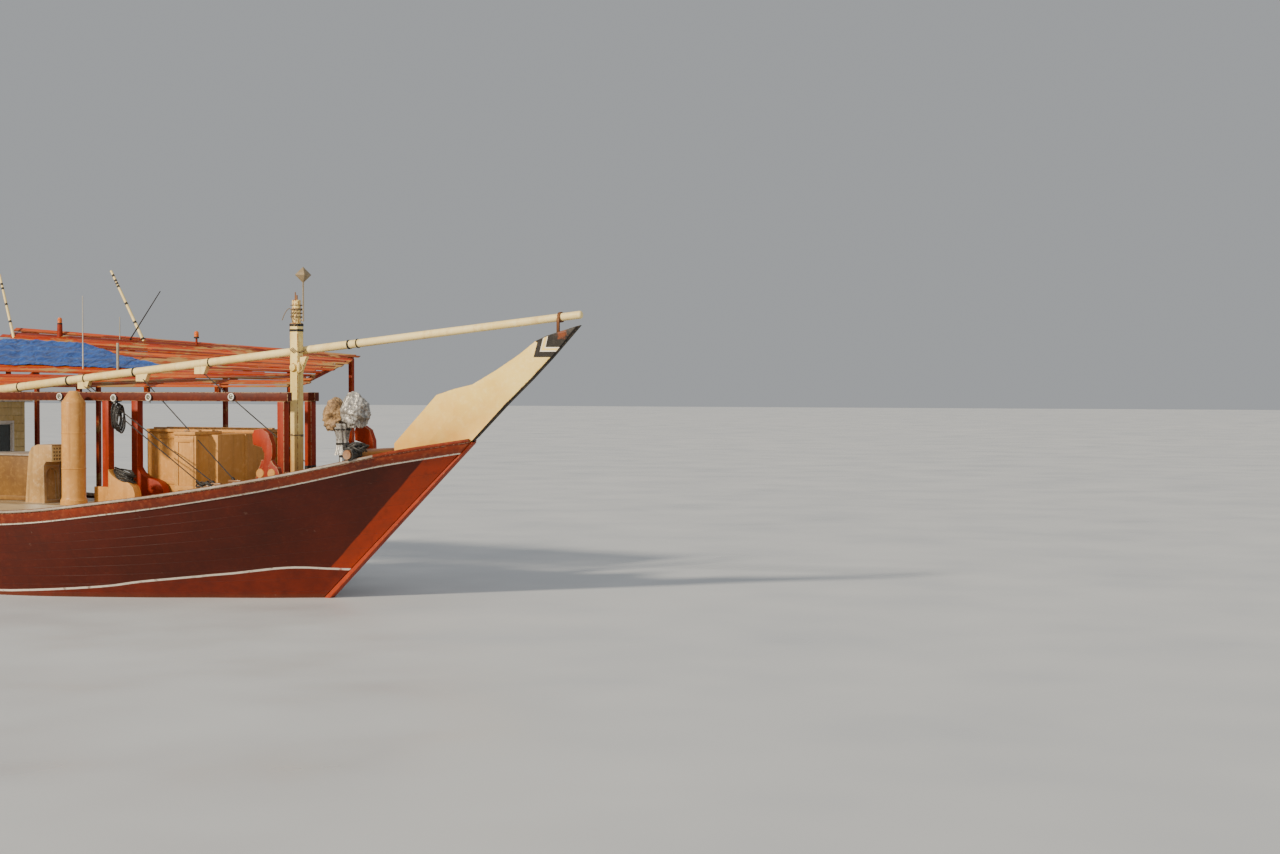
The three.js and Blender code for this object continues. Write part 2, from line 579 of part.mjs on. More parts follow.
// The two covered heads. Columns: aft of the forefoot, height, then half sizes along, across and up.
const HEADS = [[-560, 3490, 250, 250, 370], [-90, 3400, 190, 215, 335]];
{
  const x = aft(HAULER.a);
  const plate = deckZ(x + 160) + 30;
  const foot = onDeck(x - 160, x + 160, -160, 160, plate);
  const post = rod([x, 0, plate - 10], [x, 0, HAULER.top], HAULER.r, HAULER.r, 14);
  add("hauler_post", joined(foot, post), FINISH.steel);
  const heads = HEADS.map(([a, z, along, across, up]) =>
    solidOf(new THREE.SphereGeometry(1, 14, 10).scale(along, across, up).translate(aft(a), 0, z)));
  const skirt = turned(x, 0, [
    [0, HAULER.skirt], [150, HAULER.skirt], [105, 2900], [125, 3080], [180, 3250], [0, 3300],
  ], 14);
  const bore = rod([x, 0, HAULER.skirt - 50], [x, 0, HAULER.top + SEAT], HAULER.r + 2, HAULER.r + 2, 14);
  add("hauler_cover", joined(heads, skirt).subtract(bore), FINISH.foil);
}

// Awning: two long beams, slats, posts aft and a tarpaulin

const HOUSE = { a0: 9350, a1: 14600, half: 1650, wall: 60, top: 3640, roof: 80, eave: 130 };
for (const [side, sign] of [["starboard", -1], ["port", 1]]) {
  const y = sign * POST.y;
  add(
    `awning_beam_${side}`,
    box(aft(BEAM.a1), aft(BEAM.a0), y - BEAM.half, y + BEAM.half, BEAM.low, BEAM.high),
    FINISH.brick,
  );
}

// A squared timber between two points, its depth measured upright.
function bar(p, q, width, depth) {
  const [a, b] = [new THREE.Vector3(...p), new THREE.Vector3(...q)];
  const along = b.clone().sub(a).normalize();
  const side = new THREE.Vector3(0, 0, 1).cross(along).normalize();
  const turn = new THREE.Matrix4().makeBasis(along, side, along.clone().cross(side));
  const middle = a.clone().add(b).multiplyScalar(0.5);
  const geometry = new THREE.BoxGeometry(a.distanceTo(b), width, depth);
  return solidOf(geometry.applyMatrix4(turn).translate(middle.x, middle.y, middle.z));
}

// The fore awning covers the port half; it climbs outboard, and more steeply towards the stern.
const AWNING = {
  a0: 1000, a1: 10400, inner: 350, low: 3945, slats: 12, outer: 2380, width: 75, depth: 26, cross: 70,
  bearers: [1250, 3050, 4850, 6650, 8400, 10150], posts: [1250, 3050, 4850, 8400, 10150],
};
const awningSlope = (a) => 0.3 + (0.035 * (a - AWNING.a0)) / 1000;
const awningZ = (a, y) => AWNING.low + (y - AWNING.inner) * awningSlope(a);
{
  const pieces = [];
  for (const a of AWNING.bearers) {
    const [x, out] = [aft(a), Math.min(railHalf(a) - 30, 2850)];
    const low = (y) => awningZ(a, y) - AWNING.cross / 2;
    pieces.push(bar([x, AWNING.inner, low(AWNING.inner)], [x, out, low(out)], 60, AWNING.cross));
    const carrier = a < BEAM.a1 ? BEAM.high : HOUSE.top + HOUSE.roof;
    pieces.push(box(x - 30, x + 30, AWNING.inner + 5, POST.y + BEAM.half, carrier + SEAT, BEAM.high + 60));
    if (AWNING.posts.includes(a)) {
      const y = railHalf(a) - 70;
      const foot = Math.max(railZ(x - 40), railZ(x + 40)) + CAP.height + 1;
      pieces.push(box(x - 40, x + 40, y - 40, y + 40, foot, awningZ(a, y) - AWNING.cross - 10).add(
        box(x - 29, x + 29, y - 29, y + 29, awningZ(a, y) - AWNING.cross - 60, awningZ(a, y - 20) - 20)));
    }
  }
  for (let i = 0; i < AWNING.slats; i++) {
    const y = lerp(AWNING.inner + 45, AWNING.outer - 40, i / (AWNING.slats - 1));
    const ragged = ((i * 7) % 5) * 55; // the slats end unevenly
    const end = (a) => [aft(a), y, awningZ(a, y) + AWNING.depth / 2 - 3];
    pieces.push(bar(end(AWNING.a0 - 60 + ragged), end(AWNING.a1 + 150 - ragged / 2), AWNING.width, AWNING.depth));
  }
  add("awning_fore", joined(pieces), FINISH.brick);
}

// The aft awning spans the full width over the deckhouse on posts that stand on the cap rails.
const AFT_AWNING = {
  a0: 10750, a1: 16350, z0: 4808, rise: 0.06, crown: 160, slats: 19,
  bearers: [10950, 12600, 14300, 15950], posts: [10950, 12600, 15950],
};
const aftZ = (a, y) =>
  AFT_AWNING.z0 + (a - AFT_AWNING.a0) * AFT_AWNING.rise - AFT_AWNING.crown * (y / 2500) ** 2;
{
  const pieces = [];
  for (const a of AFT_AWNING.bearers) {
    const [x, out] = [aft(a), railHalf(a) - 20];
    for (const [ya, yb] of [[-out, -out / 2], [-out / 2, 0.5], [-0.5, out / 2], [out / 2, out]]) {
      const low = (y) => aftZ(a, y) - 45;
      pieces.push(bar([x, ya - 6, low(ya)], [x, yb + 6, low(yb)], 70, 90));
    }
    if (AFT_AWNING.posts.includes(a))
      for (const sign of [-1, 1]) {
        const y = sign * (railHalf(a) - 60);
        const foot = Math.max(railZ(x - 45), railZ(x + 45)) + CAP.height + 1;
        pieces.push(box(x - 45, x + 45, y - 40, y + 40, foot, aftZ(a, y) - 60));
      }
  }
  for (let i = 0; i < AFT_AWNING.slats; i++) {
    const y = lerp(-1, 1, i / (AFT_AWNING.slats - 1));
    const ragged = ((i * 7) % 5) * 50;
    const end = (a) => {
      const out = y * Math.min(railHalf(a) - 80, 2100);
      return [aft(a), out, aftZ(a, out) + 10];
    };
    pieces.push(bar(end(AFT_AWNING.a0 + ragged), end(AFT_AWNING.a1 + 200 - ragged), 80, 30));
  }
  add("awning_aft", joined(pieces), FINISH.brick);
}
{
  const [a0Inner, a0Outer, a1, y0, y1] = [4800, 7650, 9900, 1050, 2280]; // its fore edge lies aslant
  const overSlats = (a) => AWNING.depth - 3 + (AWNING.width / 2) * awningSlope(a) + 0.8;
  const corner = (a, y, up) => [aft(a), y, awningZ(a, y) + overSlats(a) + up];
  const across = Array.from({ length: 8 }, (_, i) => i / 7);
  const ring = (t) => {
    const row = (up) => across.map((u) => corner(lerp(lerp(a0Inner, a0Outer, u), a1, t), lerp(y0, y1, u), up));
    return [...row(0), ...row(30).toReversed()];
  };
  const along = Array.from({ length: 13 }, (_, i) => 1 - i / 12);
  add("tarpaulin", loft(along.map(ring)), FINISH.tarpaulin);
}

// Deckhouse: four walls with their windows cut, two side doors, a roof, and what shows inside

const WINDOW = { low: 2560, high: 3180 };
const DOOR = { a0: 9750, a1: 10450, top: 3200, sill: 140, gap: 6, thick: 42 };
const [houseFore, houseBack] = [aft(HOUSE.a0), aft(HOUSE.a1)];
const doorSill = Math.max(deckZ(aft(DOOR.a0)), deckZ(aft(DOOR.a1))) + DOOR.sill;
for (const [side, sign] of [["starboard", -1], ["port", 1]]) {
  const [ya, yb] = sign < 0 ? [-HOUSE.half, -HOUSE.half + HOUSE.wall] : [HOUSE.half - HOUSE.wall, HOUSE.half];
  let wall = onDeck(houseBack, houseFore, ya, yb, HOUSE.top);
  for (const [a, w] of [[11250, 900], [12550, 900], [13750, 700]])
    wall = wall.subtract(box(aft(a) - w / 2, aft(a) + w / 2, ya - 9, yb + 9, WINDOW.low, WINDOW.high));
  wall = wall.subtract(box(aft(DOOR.a1), aft(DOOR.a0), ya - 9, yb + 9, doorSill, DOOR.top));
  add(`house_wall_${side}`, wall, FINISH.cream);
  const out = sign * HOUSE.half;
  const [d0, d1] = sign < 0 ? [out, out + DOOR.thick] : [out - DOOR.thick, out];
  const [x0, x1] = [aft(DOOR.a1) + DOOR.gap, aft(DOOR.a0) - DOOR.gap];
  const panel = box(x0, x1, d0, d1, doorSill + DOOR.gap, DOOR.top - DOOR.gap);
  const pane = box(aft(DOOR.a1) + 150, aft(DOOR.a0) - 150, d0 - 9, d1 + 9, 2560, 3050);
  const hinges = [doorSill + 250, 2950].map((z) =>
    rod([aft(DOOR.a0) - 3.2, out, z], [aft(DOOR.a0) - 3.2, out, z + 90], 2.9, 2.9, 8)
      .add(box(aft(DOOR.a0) - 12, aft(DOOR.a0) - 3.2, out - 2, out + 2, z, z + 90)));
  add(`house_door_${side}`, joined(panel.subtract(pane), hinges), FINISH.brick);
}
for (const [name, x, widths] of [
  ["fore", houseFore - HOUSE.wall, [[-950, 620], [0, 760], [950, 620]]],
  ["aft", houseBack, [[-800, 600], [800, 600]]],
]) {
  const half = HOUSE.half - HOUSE.wall - SEAT;
  const foot = Math.max(deckZ(x), deckZ(x + HOUSE.wall)) + SEAT;
  let wall = box(x, x + HOUSE.wall, -half, half, foot, HOUSE.top);
  for (const [y, w] of widths)
    wall = wall.subtract(box(x - 9, x + HOUSE.wall + 9, y - w / 2, y + w / 2, WINDOW.low, WINDOW.high));
  add(`house_wall_${name}`, wall, FINISH.cream);
}
add(
  "house_roof",
  box(houseBack - HOUSE.eave, houseFore + HOUSE.eave, -HOUSE.half - HOUSE.eave, HOUSE.half + HOUSE.eave,
    HOUSE.top + SEAT, HOUSE.top + HOUSE.roof),
  FINISH.white,
);
const CONSOLE = { a0: 9480, a1: 9900, half: 620, top: 2250 };
add(
  "helm_console",
  onDeck(aft(CONSOLE.a1), aft(CONSOLE.a0), -CONSOLE.half, CONSOLE.half, CONSOLE.top),
  FINISH.wood,
);
const WHEEL = { z: 2080, r: 330, tube: 18, y: 0 };
{
  const x = aft(CONSOLE.a1);
  const rim = new THREE.TorusGeometry(WHEEL.r, WHEEL.tube, 8, 28)
    .rotateY(Math.PI / 2)
    .translate(x - 130, WHEEL.y, WHEEL.z);
  const hub = rod([x - SEAT, WHEEL.y, WHEEL.z], [x - 165, WHEEL.y, WHEEL.z], 34, 34, 12);
  const spokes = Array.from({ length: 8 }, (_, i) => {
    const [c, s] = [Math.cos((i * Math.PI) / 4), Math.sin((i * Math.PI) / 4)];
    const tip = [x - 130, WHEEL.y + c * 430, WHEEL.z + s * 430];
    return rod([x - 130, WHEEL.y, WHEEL.z], tip, 14, 14, 8);
  });
  add("steering_wheel", joined(solidOf(rim), hub, spokes), FINISH.wood);
}
add("cabin_bench", onDeck(aft(14480), aft(13700), -1500, 1500, deckZ(aft(13700)) + 460), FINISH.wood);

// Stern gear: rudder and propeller

{
  const blade = [
    [0, 0], [0, 900], [250, 1080], [1000, 1020], [1900, 700], [2700, 420], [3050, 260], [3050, 0],
  ].map((p) => rudderAt(...p));
  const [foot, head] = [rudderAt(0, 0), rudderAt(RUDDER.length, 0)];
  const stock = rod([foot[0], 0, foot[1]], [head[0], 0, head[1]], RUDDER.stock, RUDDER.stock, 20);
  add("rudder", joined(stock, prismXZ(blade, -RUDDER.half, RUDDER.half)), FINISH.hull);
}
const PROPELLER = { a: 14260, z: -1080, r: 380, hub: 75, blades: 4 };
{
  const [x, z] = [aft(PROPELLER.a), PROPELLER.z];
  const hub = rod([x - 120, 0, z], [x + 110, 0, z], 45, PROPELLER.hub, 20);
  const shaft = rod([x + 100, 0, z], [aft(APERTURE.fore) - SEAT, 0, z], 38, 38, 16);
  const blades = Array.from({ length: PROPELLER.blades }, (_, i) => {
    const blade = new THREE.Shape();
    blade.moveTo(-60, 40);
    blade.quadraticCurveTo(-190, 260, -40, PROPELLER.r);
    blade.quadraticCurveTo(190, 330, 60, 40);
    blade.closePath();
    const plate = new THREE.ExtrudeGeometry(blade, { depth: 22, bevelEnabled: false, curveSegments: 6 });
    plate.translate(0, 0, -11).rotateY(0.62).rotateX((i * 2 * Math.PI) / PROPELLER.blades).translate(x, 0, z);
    return solidOf(plate);
  });
  add("propeller", joined(hub, shaft, blades), FINISH.bronze);
}

export default boat;
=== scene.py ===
"""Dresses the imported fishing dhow: finishes, planking, rigging, awning slats, cloth and trim.

Metres. +X is forward, +Y is port, +Z is up, and z = 0 is the water. Places along the hull
are given as metres aft of the forefoot, where the stem meets the water.
"""

from __future__ import annotations

import json
import logging
import math
import random
from collections.abc import Callable, Sequence
from dataclasses import dataclass
from enum import Enum

import bmesh
import bpy
from mathutils import Matrix, Vector, noise

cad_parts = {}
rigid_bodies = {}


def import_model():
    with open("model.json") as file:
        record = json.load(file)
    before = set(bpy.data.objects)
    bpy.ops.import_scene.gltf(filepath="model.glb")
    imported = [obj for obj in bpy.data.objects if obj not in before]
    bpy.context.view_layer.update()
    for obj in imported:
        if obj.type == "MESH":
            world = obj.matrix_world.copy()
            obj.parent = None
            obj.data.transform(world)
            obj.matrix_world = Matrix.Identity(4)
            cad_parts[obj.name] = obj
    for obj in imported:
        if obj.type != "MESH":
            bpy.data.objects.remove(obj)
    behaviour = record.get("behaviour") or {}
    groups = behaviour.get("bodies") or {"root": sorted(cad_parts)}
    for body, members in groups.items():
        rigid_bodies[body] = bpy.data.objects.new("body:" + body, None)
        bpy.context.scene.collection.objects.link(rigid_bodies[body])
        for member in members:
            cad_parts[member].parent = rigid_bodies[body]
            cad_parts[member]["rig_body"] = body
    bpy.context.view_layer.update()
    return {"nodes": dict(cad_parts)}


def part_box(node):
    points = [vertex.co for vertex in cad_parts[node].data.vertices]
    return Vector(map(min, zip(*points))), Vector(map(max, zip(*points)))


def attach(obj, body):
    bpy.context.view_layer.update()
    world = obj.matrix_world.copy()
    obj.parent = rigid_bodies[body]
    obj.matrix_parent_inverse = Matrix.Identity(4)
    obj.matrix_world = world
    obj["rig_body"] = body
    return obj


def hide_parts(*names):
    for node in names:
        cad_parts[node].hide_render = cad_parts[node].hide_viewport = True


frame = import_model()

FOREFOOT_X = 5.6
STEM_SLOPE = 0.945  # the stem's leading edge: metres up for each metre forward

Pair = tuple[float, float]
Point = tuple[float, float, float]
Rings = list[list[Point]]
log = logging.getLogger("dhow")


def aft(a: float) -> float:
    """The x of a place given as metres aft of the forefoot."""
    return FOREFOOT_X - a


def lerp(a: float, b: float, t: float) -> float:
    """The value a share t of the way from a to b."""
    return a + (b - a) * t


def fair(table: Sequence[tuple[float, float]]) -> Callable[[float], float]:
    """Draws a smooth curve through a short table, without overshoot.

    Args:
        table: rows of place and value, in rising order of place.

    Returns:
        The value at any place; beyond the ends it stays at the end value.
    """
    last = len(table) - 1
    steep = [(q[1] - p[1]) / (q[0] - p[0]) for p, q in zip(table, table[1:])]
    inner = [2 * p * q / (p + q) if p * q > 0 else 0.0 for p, q in zip(steep, steep[1:])]
    slope = [steep[0], *inner, steep[-1]]

    def value(x: float) -> float:
        """The curve's value at x."""
        if x <= table[0][0]:
            return table[0][1]
        if x >= table[last][0]:
            return table[last][1]
        i = next(k for k in range(last) if x <= table[k + 1][0])
        h = table[i + 1][0] - table[i][0]
        t = (x - table[i][0]) / h
        start = (1 + 2 * t) * (1 - t) ** 2 * table[i][1] + t * (1 - t) ** 2 * h * slope[i]
        return start + t * t * (3 - 2 * t) * table[i + 1][1] + t * t * (t - 1) * h * slope[i + 1]

    return value


def linear(colour: str) -> tuple[float, float, float, float]:
    """A hex colour as the linear values that a shader takes."""
    parts = [int(colour[i : i + 2], 16) / 255 for i in (0, 2, 4)]
    return (*[c / 12.92 if c <= 0.04045 else ((c + 0.055) / 1.055) ** 2.4 for c in parts], 1.0)


class Along(Enum):
    """The direction in which a timber's grain runs."""

    LENGTH = (0.06, 1.0, 1.0)
    BREADTH = (1.0, 0.06, 1.0)
    HEIGHT = (1.0, 1.0, 0.06)
    NONE = (1.0, 1.0, 1.0)


class Graph:
    """A material's node tree, grown by small named steps."""

    def __init__(self, name: str) -> None:
        """Starts an empty finish of that name."""
        self.material = bpy.data.materials.new(name)
        self.material.use_nodes = True
        self.tree = self.material.node_tree
        self.shader = self.tree.nodes["Principled BSDF"]
        self.place = self.tree.nodes.new("ShaderNodeTexCoord").outputs["Object"]

    def put(self, socket: bpy.types.NodeSocket, value: object) -> None:
        """Sets a socket to a constant, or links it to another socket."""
        if isinstance(value, bpy.types.NodeSocket):
            self.tree.links.new(value, socket)
        elif isinstance(value, str):
            socket.default_value = linear(value)
        else:
            socket.default_value = value

    def surface(self, **values: object) -> None:
        """Sets the shader's own sockets; words of a socket's name are joined by underscores."""
        for name, value in values.items():
            self.put(self.shader.inputs[name.replace("_", " ")], value)

    def mapped(self, scale: Point, turn: Point = (0, 0, 0), source: object = None) -> bpy.types.NodeSocket:
        """Object coordinates scaled and turned."""
        node = self.tree.nodes.new("ShaderNodeMapping")
        node.inputs["Scale"].default_value = scale
        node.inputs["Rotation"].default_value = turn
        self.put(node.inputs["Vector"], source or self.place)
        return node.outputs["Vector"]

    def noise(self, scale: float, detail: float = 3, rough: float = 0.55, source: object = None,
              twist: float = 0.0) -> bpy.types.NodeSocket:
        """Cloudy noise.

        Args:
            scale: how many blotches to a metre.
            detail: octaves.
            rough: how strong the finer octaves are.
            source: the coordinates, or the object's own.
            twist: distortion.

        Returns:
            A value near 0.5, from 0 to 1.
        """
        node = self.tree.nodes.new("ShaderNodeTexNoise")
        node.inputs["Scale"].default_value = scale
        node.inputs["Detail"].default_value = detail
        node.inputs["Roughness"].default_value = rough
        node.inputs["Distortion"].default_value = twist
        self.put(node.inputs["Vector"], source or self.place)
        return node.outputs["Fac"]

    def marked(self, name: str) -> bpy.types.NodeSocket:
        """A value that the mesh carries under that name."""
        node = self.tree.nodes.new("ShaderNodeAttribute")
        node.attribute_name = name
        return node.outputs["Fac"]

    def part(self, axis: str, source: object = None) -> bpy.types.NodeSocket:
        """One coordinate of the object's own."""
        node = self.tree.nodes.new("ShaderNodeSeparateXYZ")
        self.put(node.inputs[0], source or self.place)
        return node.outputs[axis]

    def math(self, what: str, a: object, b: object = 0.0) -> bpy.types.NodeSocket:
        """One sum on two values."""
        node = self.tree.nodes.new("ShaderNodeMath")
        node.operation = what
        self.put(node.inputs[0], a)
        self.put(node.inputs[1], b)
        return node.outputs[0]

    def step(self, value: object, low: float, high: float, top: float = 1.0) -> bpy.types.NodeSocket:
        """A value taken from 0 at low to top at high, held outside them."""
        node = self.tree.nodes.new("ShaderNodeMapRange")
        node.inputs["From Min"].default_value = low
        node.inputs["From Max"].default_value = high
        node.inputs["To Max"].default_value = top
        self.put(node.inputs["Value"], value)
        return node.outputs["Result"]

    def mix(self, share: object, a: object, b: object) -> bpy.types.NodeSocket:
        """Colour a turning into colour b by a share."""
        node = self.tree.nodes.new("ShaderNodeMix")
        node.data_type = "RGBA"
        self.put(node.inputs[0], share)
        self.put(node.inputs[6], a)
        self.put(node.inputs[7], b)
        return node.outputs[2]

    def bump(self, height: object, depth: float, under: object = None) -> bpy.types.NodeSocket:
        """A relief of that depth in metres, over another relief or none."""
        node = self.tree.nodes.new("ShaderNodeBump")
        node.inputs["Distance"].default_value = depth
        self.put(node.inputs["Height"], height)
        if under is not None:
            self.put(node.inputs["Normal"], under)
        return node.outputs["Normal"]


@dataclass(frozen=True)
class Paint:
    """Weathered paint on wood or steel.

    colour and shade are the two broad tones, pale is the sun-bleached fleck, worn is what
    shows where edges and knocks have lost the paint, and grime runs down in streaks.
    """

    name: str
    slot: str
    colour: str
    shade: str
    pale: str
    worn: str
    grime: str = "4a3626"
    roughness: float = 0.55
    wear: float = 0.5
    chips: float = 0.3
    streaks: float = 0.35
    grain: Along = Along.NONE
    grain_depth: float = 0.0012
    metal: float = 0.0
    coat: float = 0.0
    sheen: float = 0.25

    def tones(self, g: Graph) -> object:
        """The paint's own tones before any marks or dirt."""
        base = g.mix(g.step(g.noise(0.9, 4), 0.35, 0.65), self.colour, self.shade)
        return g.mix(g.step(g.noise(11, 5, 0.65), 0.5, 0.78, 0.55), base, self.pale)

    def relief(self, g: Graph) -> object:
        """The grain or orange peel under the paint."""
        stretched = g.mapped(self.grain.value)
        broad = g.bump(g.noise(26, 5, 0.6, stretched, 0.3), self.grain_depth * 2)
        return g.bump(g.noise(120, 3, 0.6, stretched), self.grain_depth * 0.6, broad)

    def material(self) -> bpy.types.Material:
        """The finished material, made once for each name."""
        ready = bpy.data.materials.get(self.name)
        if ready:
            return ready
        g = Graph(self.name)
        tone = self.tones(g)
        run = g.noise(1.0, 5, 0.6, g.mapped((9, 9, 0.7)))
        tone = g.mix(g.step(run, 0.52, 0.75, self.streaks), tone, self.grime)
        flake = g.noise(24, 6, 0.7)
        edge = g.math("MULTIPLY", g.marked("wear"),
                      g.step(flake, 0.62 - 0.3 * self.wear, 0.66 - 0.3 * self.wear))
        knock = g.step(g.noise(6.5, 8, 0.74), 0.66, 0.68, self.chips)
        bare = g.math("MAXIMUM", edge, knock)
        tone = g.mix(bare, tone, self.worn)
        rough = g.math("ADD", g.step(g.noise(5, 4), 0.3, 0.8, 0.22), self.roughness - 0.1)
        rough = g.math("ADD", rough, g.math("MULTIPLY", bare, 0.2))
        g.surface(Base_Color=tone, Roughness=rough, Metallic=self.metal, Coat_Weight=self.coat)
        g.surface(Specular_IOR_Level=self.sheen)
        g.surface(Normal=g.bump(g.math("SUBTRACT", 1.0, bare), 0.0015, self.relief(g)))
        return g.material


@dataclass(frozen=True)
class HullPaint(Paint):
    """The topsides' paint, with the white boot stripe, the redder bottom and the paler bow."""

    bow: str = "9c320f"
    bottom: str = "6e220c"
    stripe: str = "ddd4c4"
    stripe_width: float = 0.042
    strakes: float = 17.0

    def tones(self, g: Graph) -> object:
        """The topside tones, changed at the bow, at the boot stripe and under it."""
        wander = g.math("MULTIPLY", g.math("SUBTRACT", g.noise(2.2, 4), 0.5), 0.05)
        side = Paint.tones(self, g)
        soft = g.step(g.noise(0.45, 3), 0.35, 0.7, 0.6)
        side = g.mix(soft, side, "421608")
        bow = g.step(g.math("ADD", g.marked("bow"), wander), 0.012, -0.012)
        side = g.mix(bow, side, g.mix(g.step(g.noise(3, 4), 0.35, 0.7), self.bow, "8c3214"))
        height = g.math("ADD", g.marked("boot"), g.math("MULTIPLY", wander, 0.35))
        scum = g.mix(g.step(g.noise(4, 5), 0.4, 0.7), self.bottom, "5c1c0a")
        scum = g.mix(g.step(g.part("Z"), 0.10, -0.02, 0.75), scum, "5d3a26")
        side = g.mix(g.step(height, 0.0, -0.008), side, scum)
        band = g.math("MULTIPLY", g.step(height, -0.006, 0.004),
                      g.step(height, self.stripe_width, self.stripe_width - 0.01))
        ragged = g.math("MULTIPLY", band, g.step(g.noise(7, 6, 0.7), 0.3, 0.42))
        side = g.mix(ragged, side, self.stripe)
        seam = self.seams(g)
        return g.mix(g.math("MULTIPLY", seam, 0.3), side, "3a1c14")

    def seams(self, g: Graph) -> object:
        """Thin lines where one strake meets the next."""
        share = g.math("FRACT", g.math("MULTIPLY", g.marked("strake"), self.strakes))
        centred = g.math("ABSOLUTE", g.math("SUBTRACT", share, 0.5))
        return g.step(centred, 0.485, 0.5)

    def relief(self, g: Graph) -> object:
        """Planks standing a little proud of their seams, with long shallow dents."""
        stretched = g.mapped((0.25, 1.0, 1.0))
        dents = g.bump(g.noise(3.2, 4, 0.5, stretched), 0.008)
        fine = g.bump(g.noise(60, 5, 0.6, g.mapped((0.08, 1, 1))), 0.001, dents)
        return g.bump(g.math("SUBTRACT", 1.0, self.seams(g)), 0.004, fine)


@dataclass(frozen=True)
class PostPaint(Paint):
    """Cream paint that turns tan and dirty towards the foot of a tall piece."""

    foot: str = "b98a55"
    foot_height: float = 2.3
    head_height: float = 3.6

    def tones(self, g: Graph) -> object:
        """Clean tones above and tanned ones below, meeting in a cloudy edge."""
        base = Paint.tones(self, g)
        wave = g.math("MULTIPLY", g.math("SUBTRACT", g.noise(2.5, 5, 0.6), 0.5), 1.6)
        height = g.math("ADD", g.part("Z"), wave)
        low = g.step(height, self.head_height, self.foot_height, 0.8)
        return g.mix(low, base, self.foot)


@dataclass(frozen=True)
class TipPaint(Paint):
    """Black paint worn through to rusty wood where the strap chafes it."""

    chafed: str = "7c3f1c"
    middle: tuple[float, float] = (10.61, 4.915)  # x and z of the bare patch
    reach: float = 0.12

    def tones(self, g: Graph) -> object:
        """The paint with its bare patch, whose edge wanders."""
        dx = g.math("SUBTRACT", g.part("X"), self.middle[0])
        dz = g.math("SUBTRACT", g.part("Z"), self.middle[1])
        away = g.math("SQRT", g.math("ADD", g.math("MULTIPLY", dx, dx), g.math("MULTIPLY", dz, dz)))
        wander = g.math("MULTIPLY", g.math("SUBTRACT", g.noise(14, 5), 0.5), 0.16)
        bare = g.step(g.math("ADD", away, wander), self.reach, self.reach * 0.6, 0.85)
        return g.mix(bare, Paint.tones(self, g), self.chafed)


@dataclass(frozen=True)
class Timber:
    """Bare weathered wood with its grain, and tar or dirt in the hollows."""

    name: str
    slot: str
    light: str
    dark: str
    silver: str
    grain: Along = Along.LENGTH
    plank: float = 0.0

    def material(self) -> bpy.types.Material:
        """The finished material, made once for each name."""
        ready = bpy.data.materials.get(self.name)
        if ready:
            return ready
        g = Graph(self.name)
        fibres = g.noise(30, 6, 0.65, g.mapped(self.grain.value), 0.4)
        tone = g.mix(g.step(fibres, 0.35, 0.68), self.light, self.dark)
        tone = g.mix(g.step(g.noise(1.6, 4), 0.42, 0.7, 0.8), tone, self.silver)
        relief = g.bump(fibres, 0.002)
        if self.plank:
            across = g.math("FRACT", g.math("DIVIDE", g.math("ADD", g.part("Y"), 40.0), self.plank))
            seam = g.step(g.math("ABSOLUTE", g.math("SUBTRACT", across, 0.5)), 0.46, 0.49)
            tone = g.mix(seam, tone, "1d1611")
            relief = g.bump(g.math("SUBTRACT", 1.0, seam), 0.004, relief)
        g.surface(Base_Color=tone, Roughness=g.step(fibres, 0.2, 0.9, 0.9), Normal=relief)
        return g.material


@dataclass(frozen=True)
class SlatPaint:
    """Old brick-red paint on slats, each with its own tone, worn to grey wood here and there."""

    name: str = "awning slats"
    slot: str = "brick_paint"
    red: str = "9c2f09"
    brown: str = "5a1c09"
    orange: str = "c05a20"
    grey: str = "a07a48"
    sheen: float = 0.2

    def material(self) -> bpy.types.Material:
        """The finished material, which reads each slat's tint."""
        ready = bpy.data.materials.get(self.name)
        if ready:
            return ready
        g = Graph(self.name)
        tint = g.marked("tint")
        tone = g.mix(g.step(tint, 0.0, 0.45), self.brown, self.red)
        tone = g.mix(g.step(tint, 0.55, 0.95), tone, self.orange)
        stretched = g.mapped(Along.LENGTH.value)
        fibres = g.noise(28, 5, 0.65, stretched)
        tone = g.mix(g.step(fibres, 0.5, 0.75, 0.5), tone, self.brown)
        bare = g.step(g.math("ADD", g.noise(2.4, 6, 0.68, g.mapped((0.35, 1, 1))),
                             g.math("MULTIPLY", tint, 0.12)), 0.6, 0.66)
        tone = g.mix(bare, tone, self.grey)
        tone = g.mix(g.math("MULTIPLY", g.marked("wear"), g.step(fibres, 0.4, 0.5)), tone, self.grey)
        g.surface(Base_Color=tone, Roughness=g.step(fibres, 0.1, 1.0, 0.95), Normal=g.bump(fibres, 0.002))
        g.surface(Specular_IOR_Level=self.sheen)
        return g.material


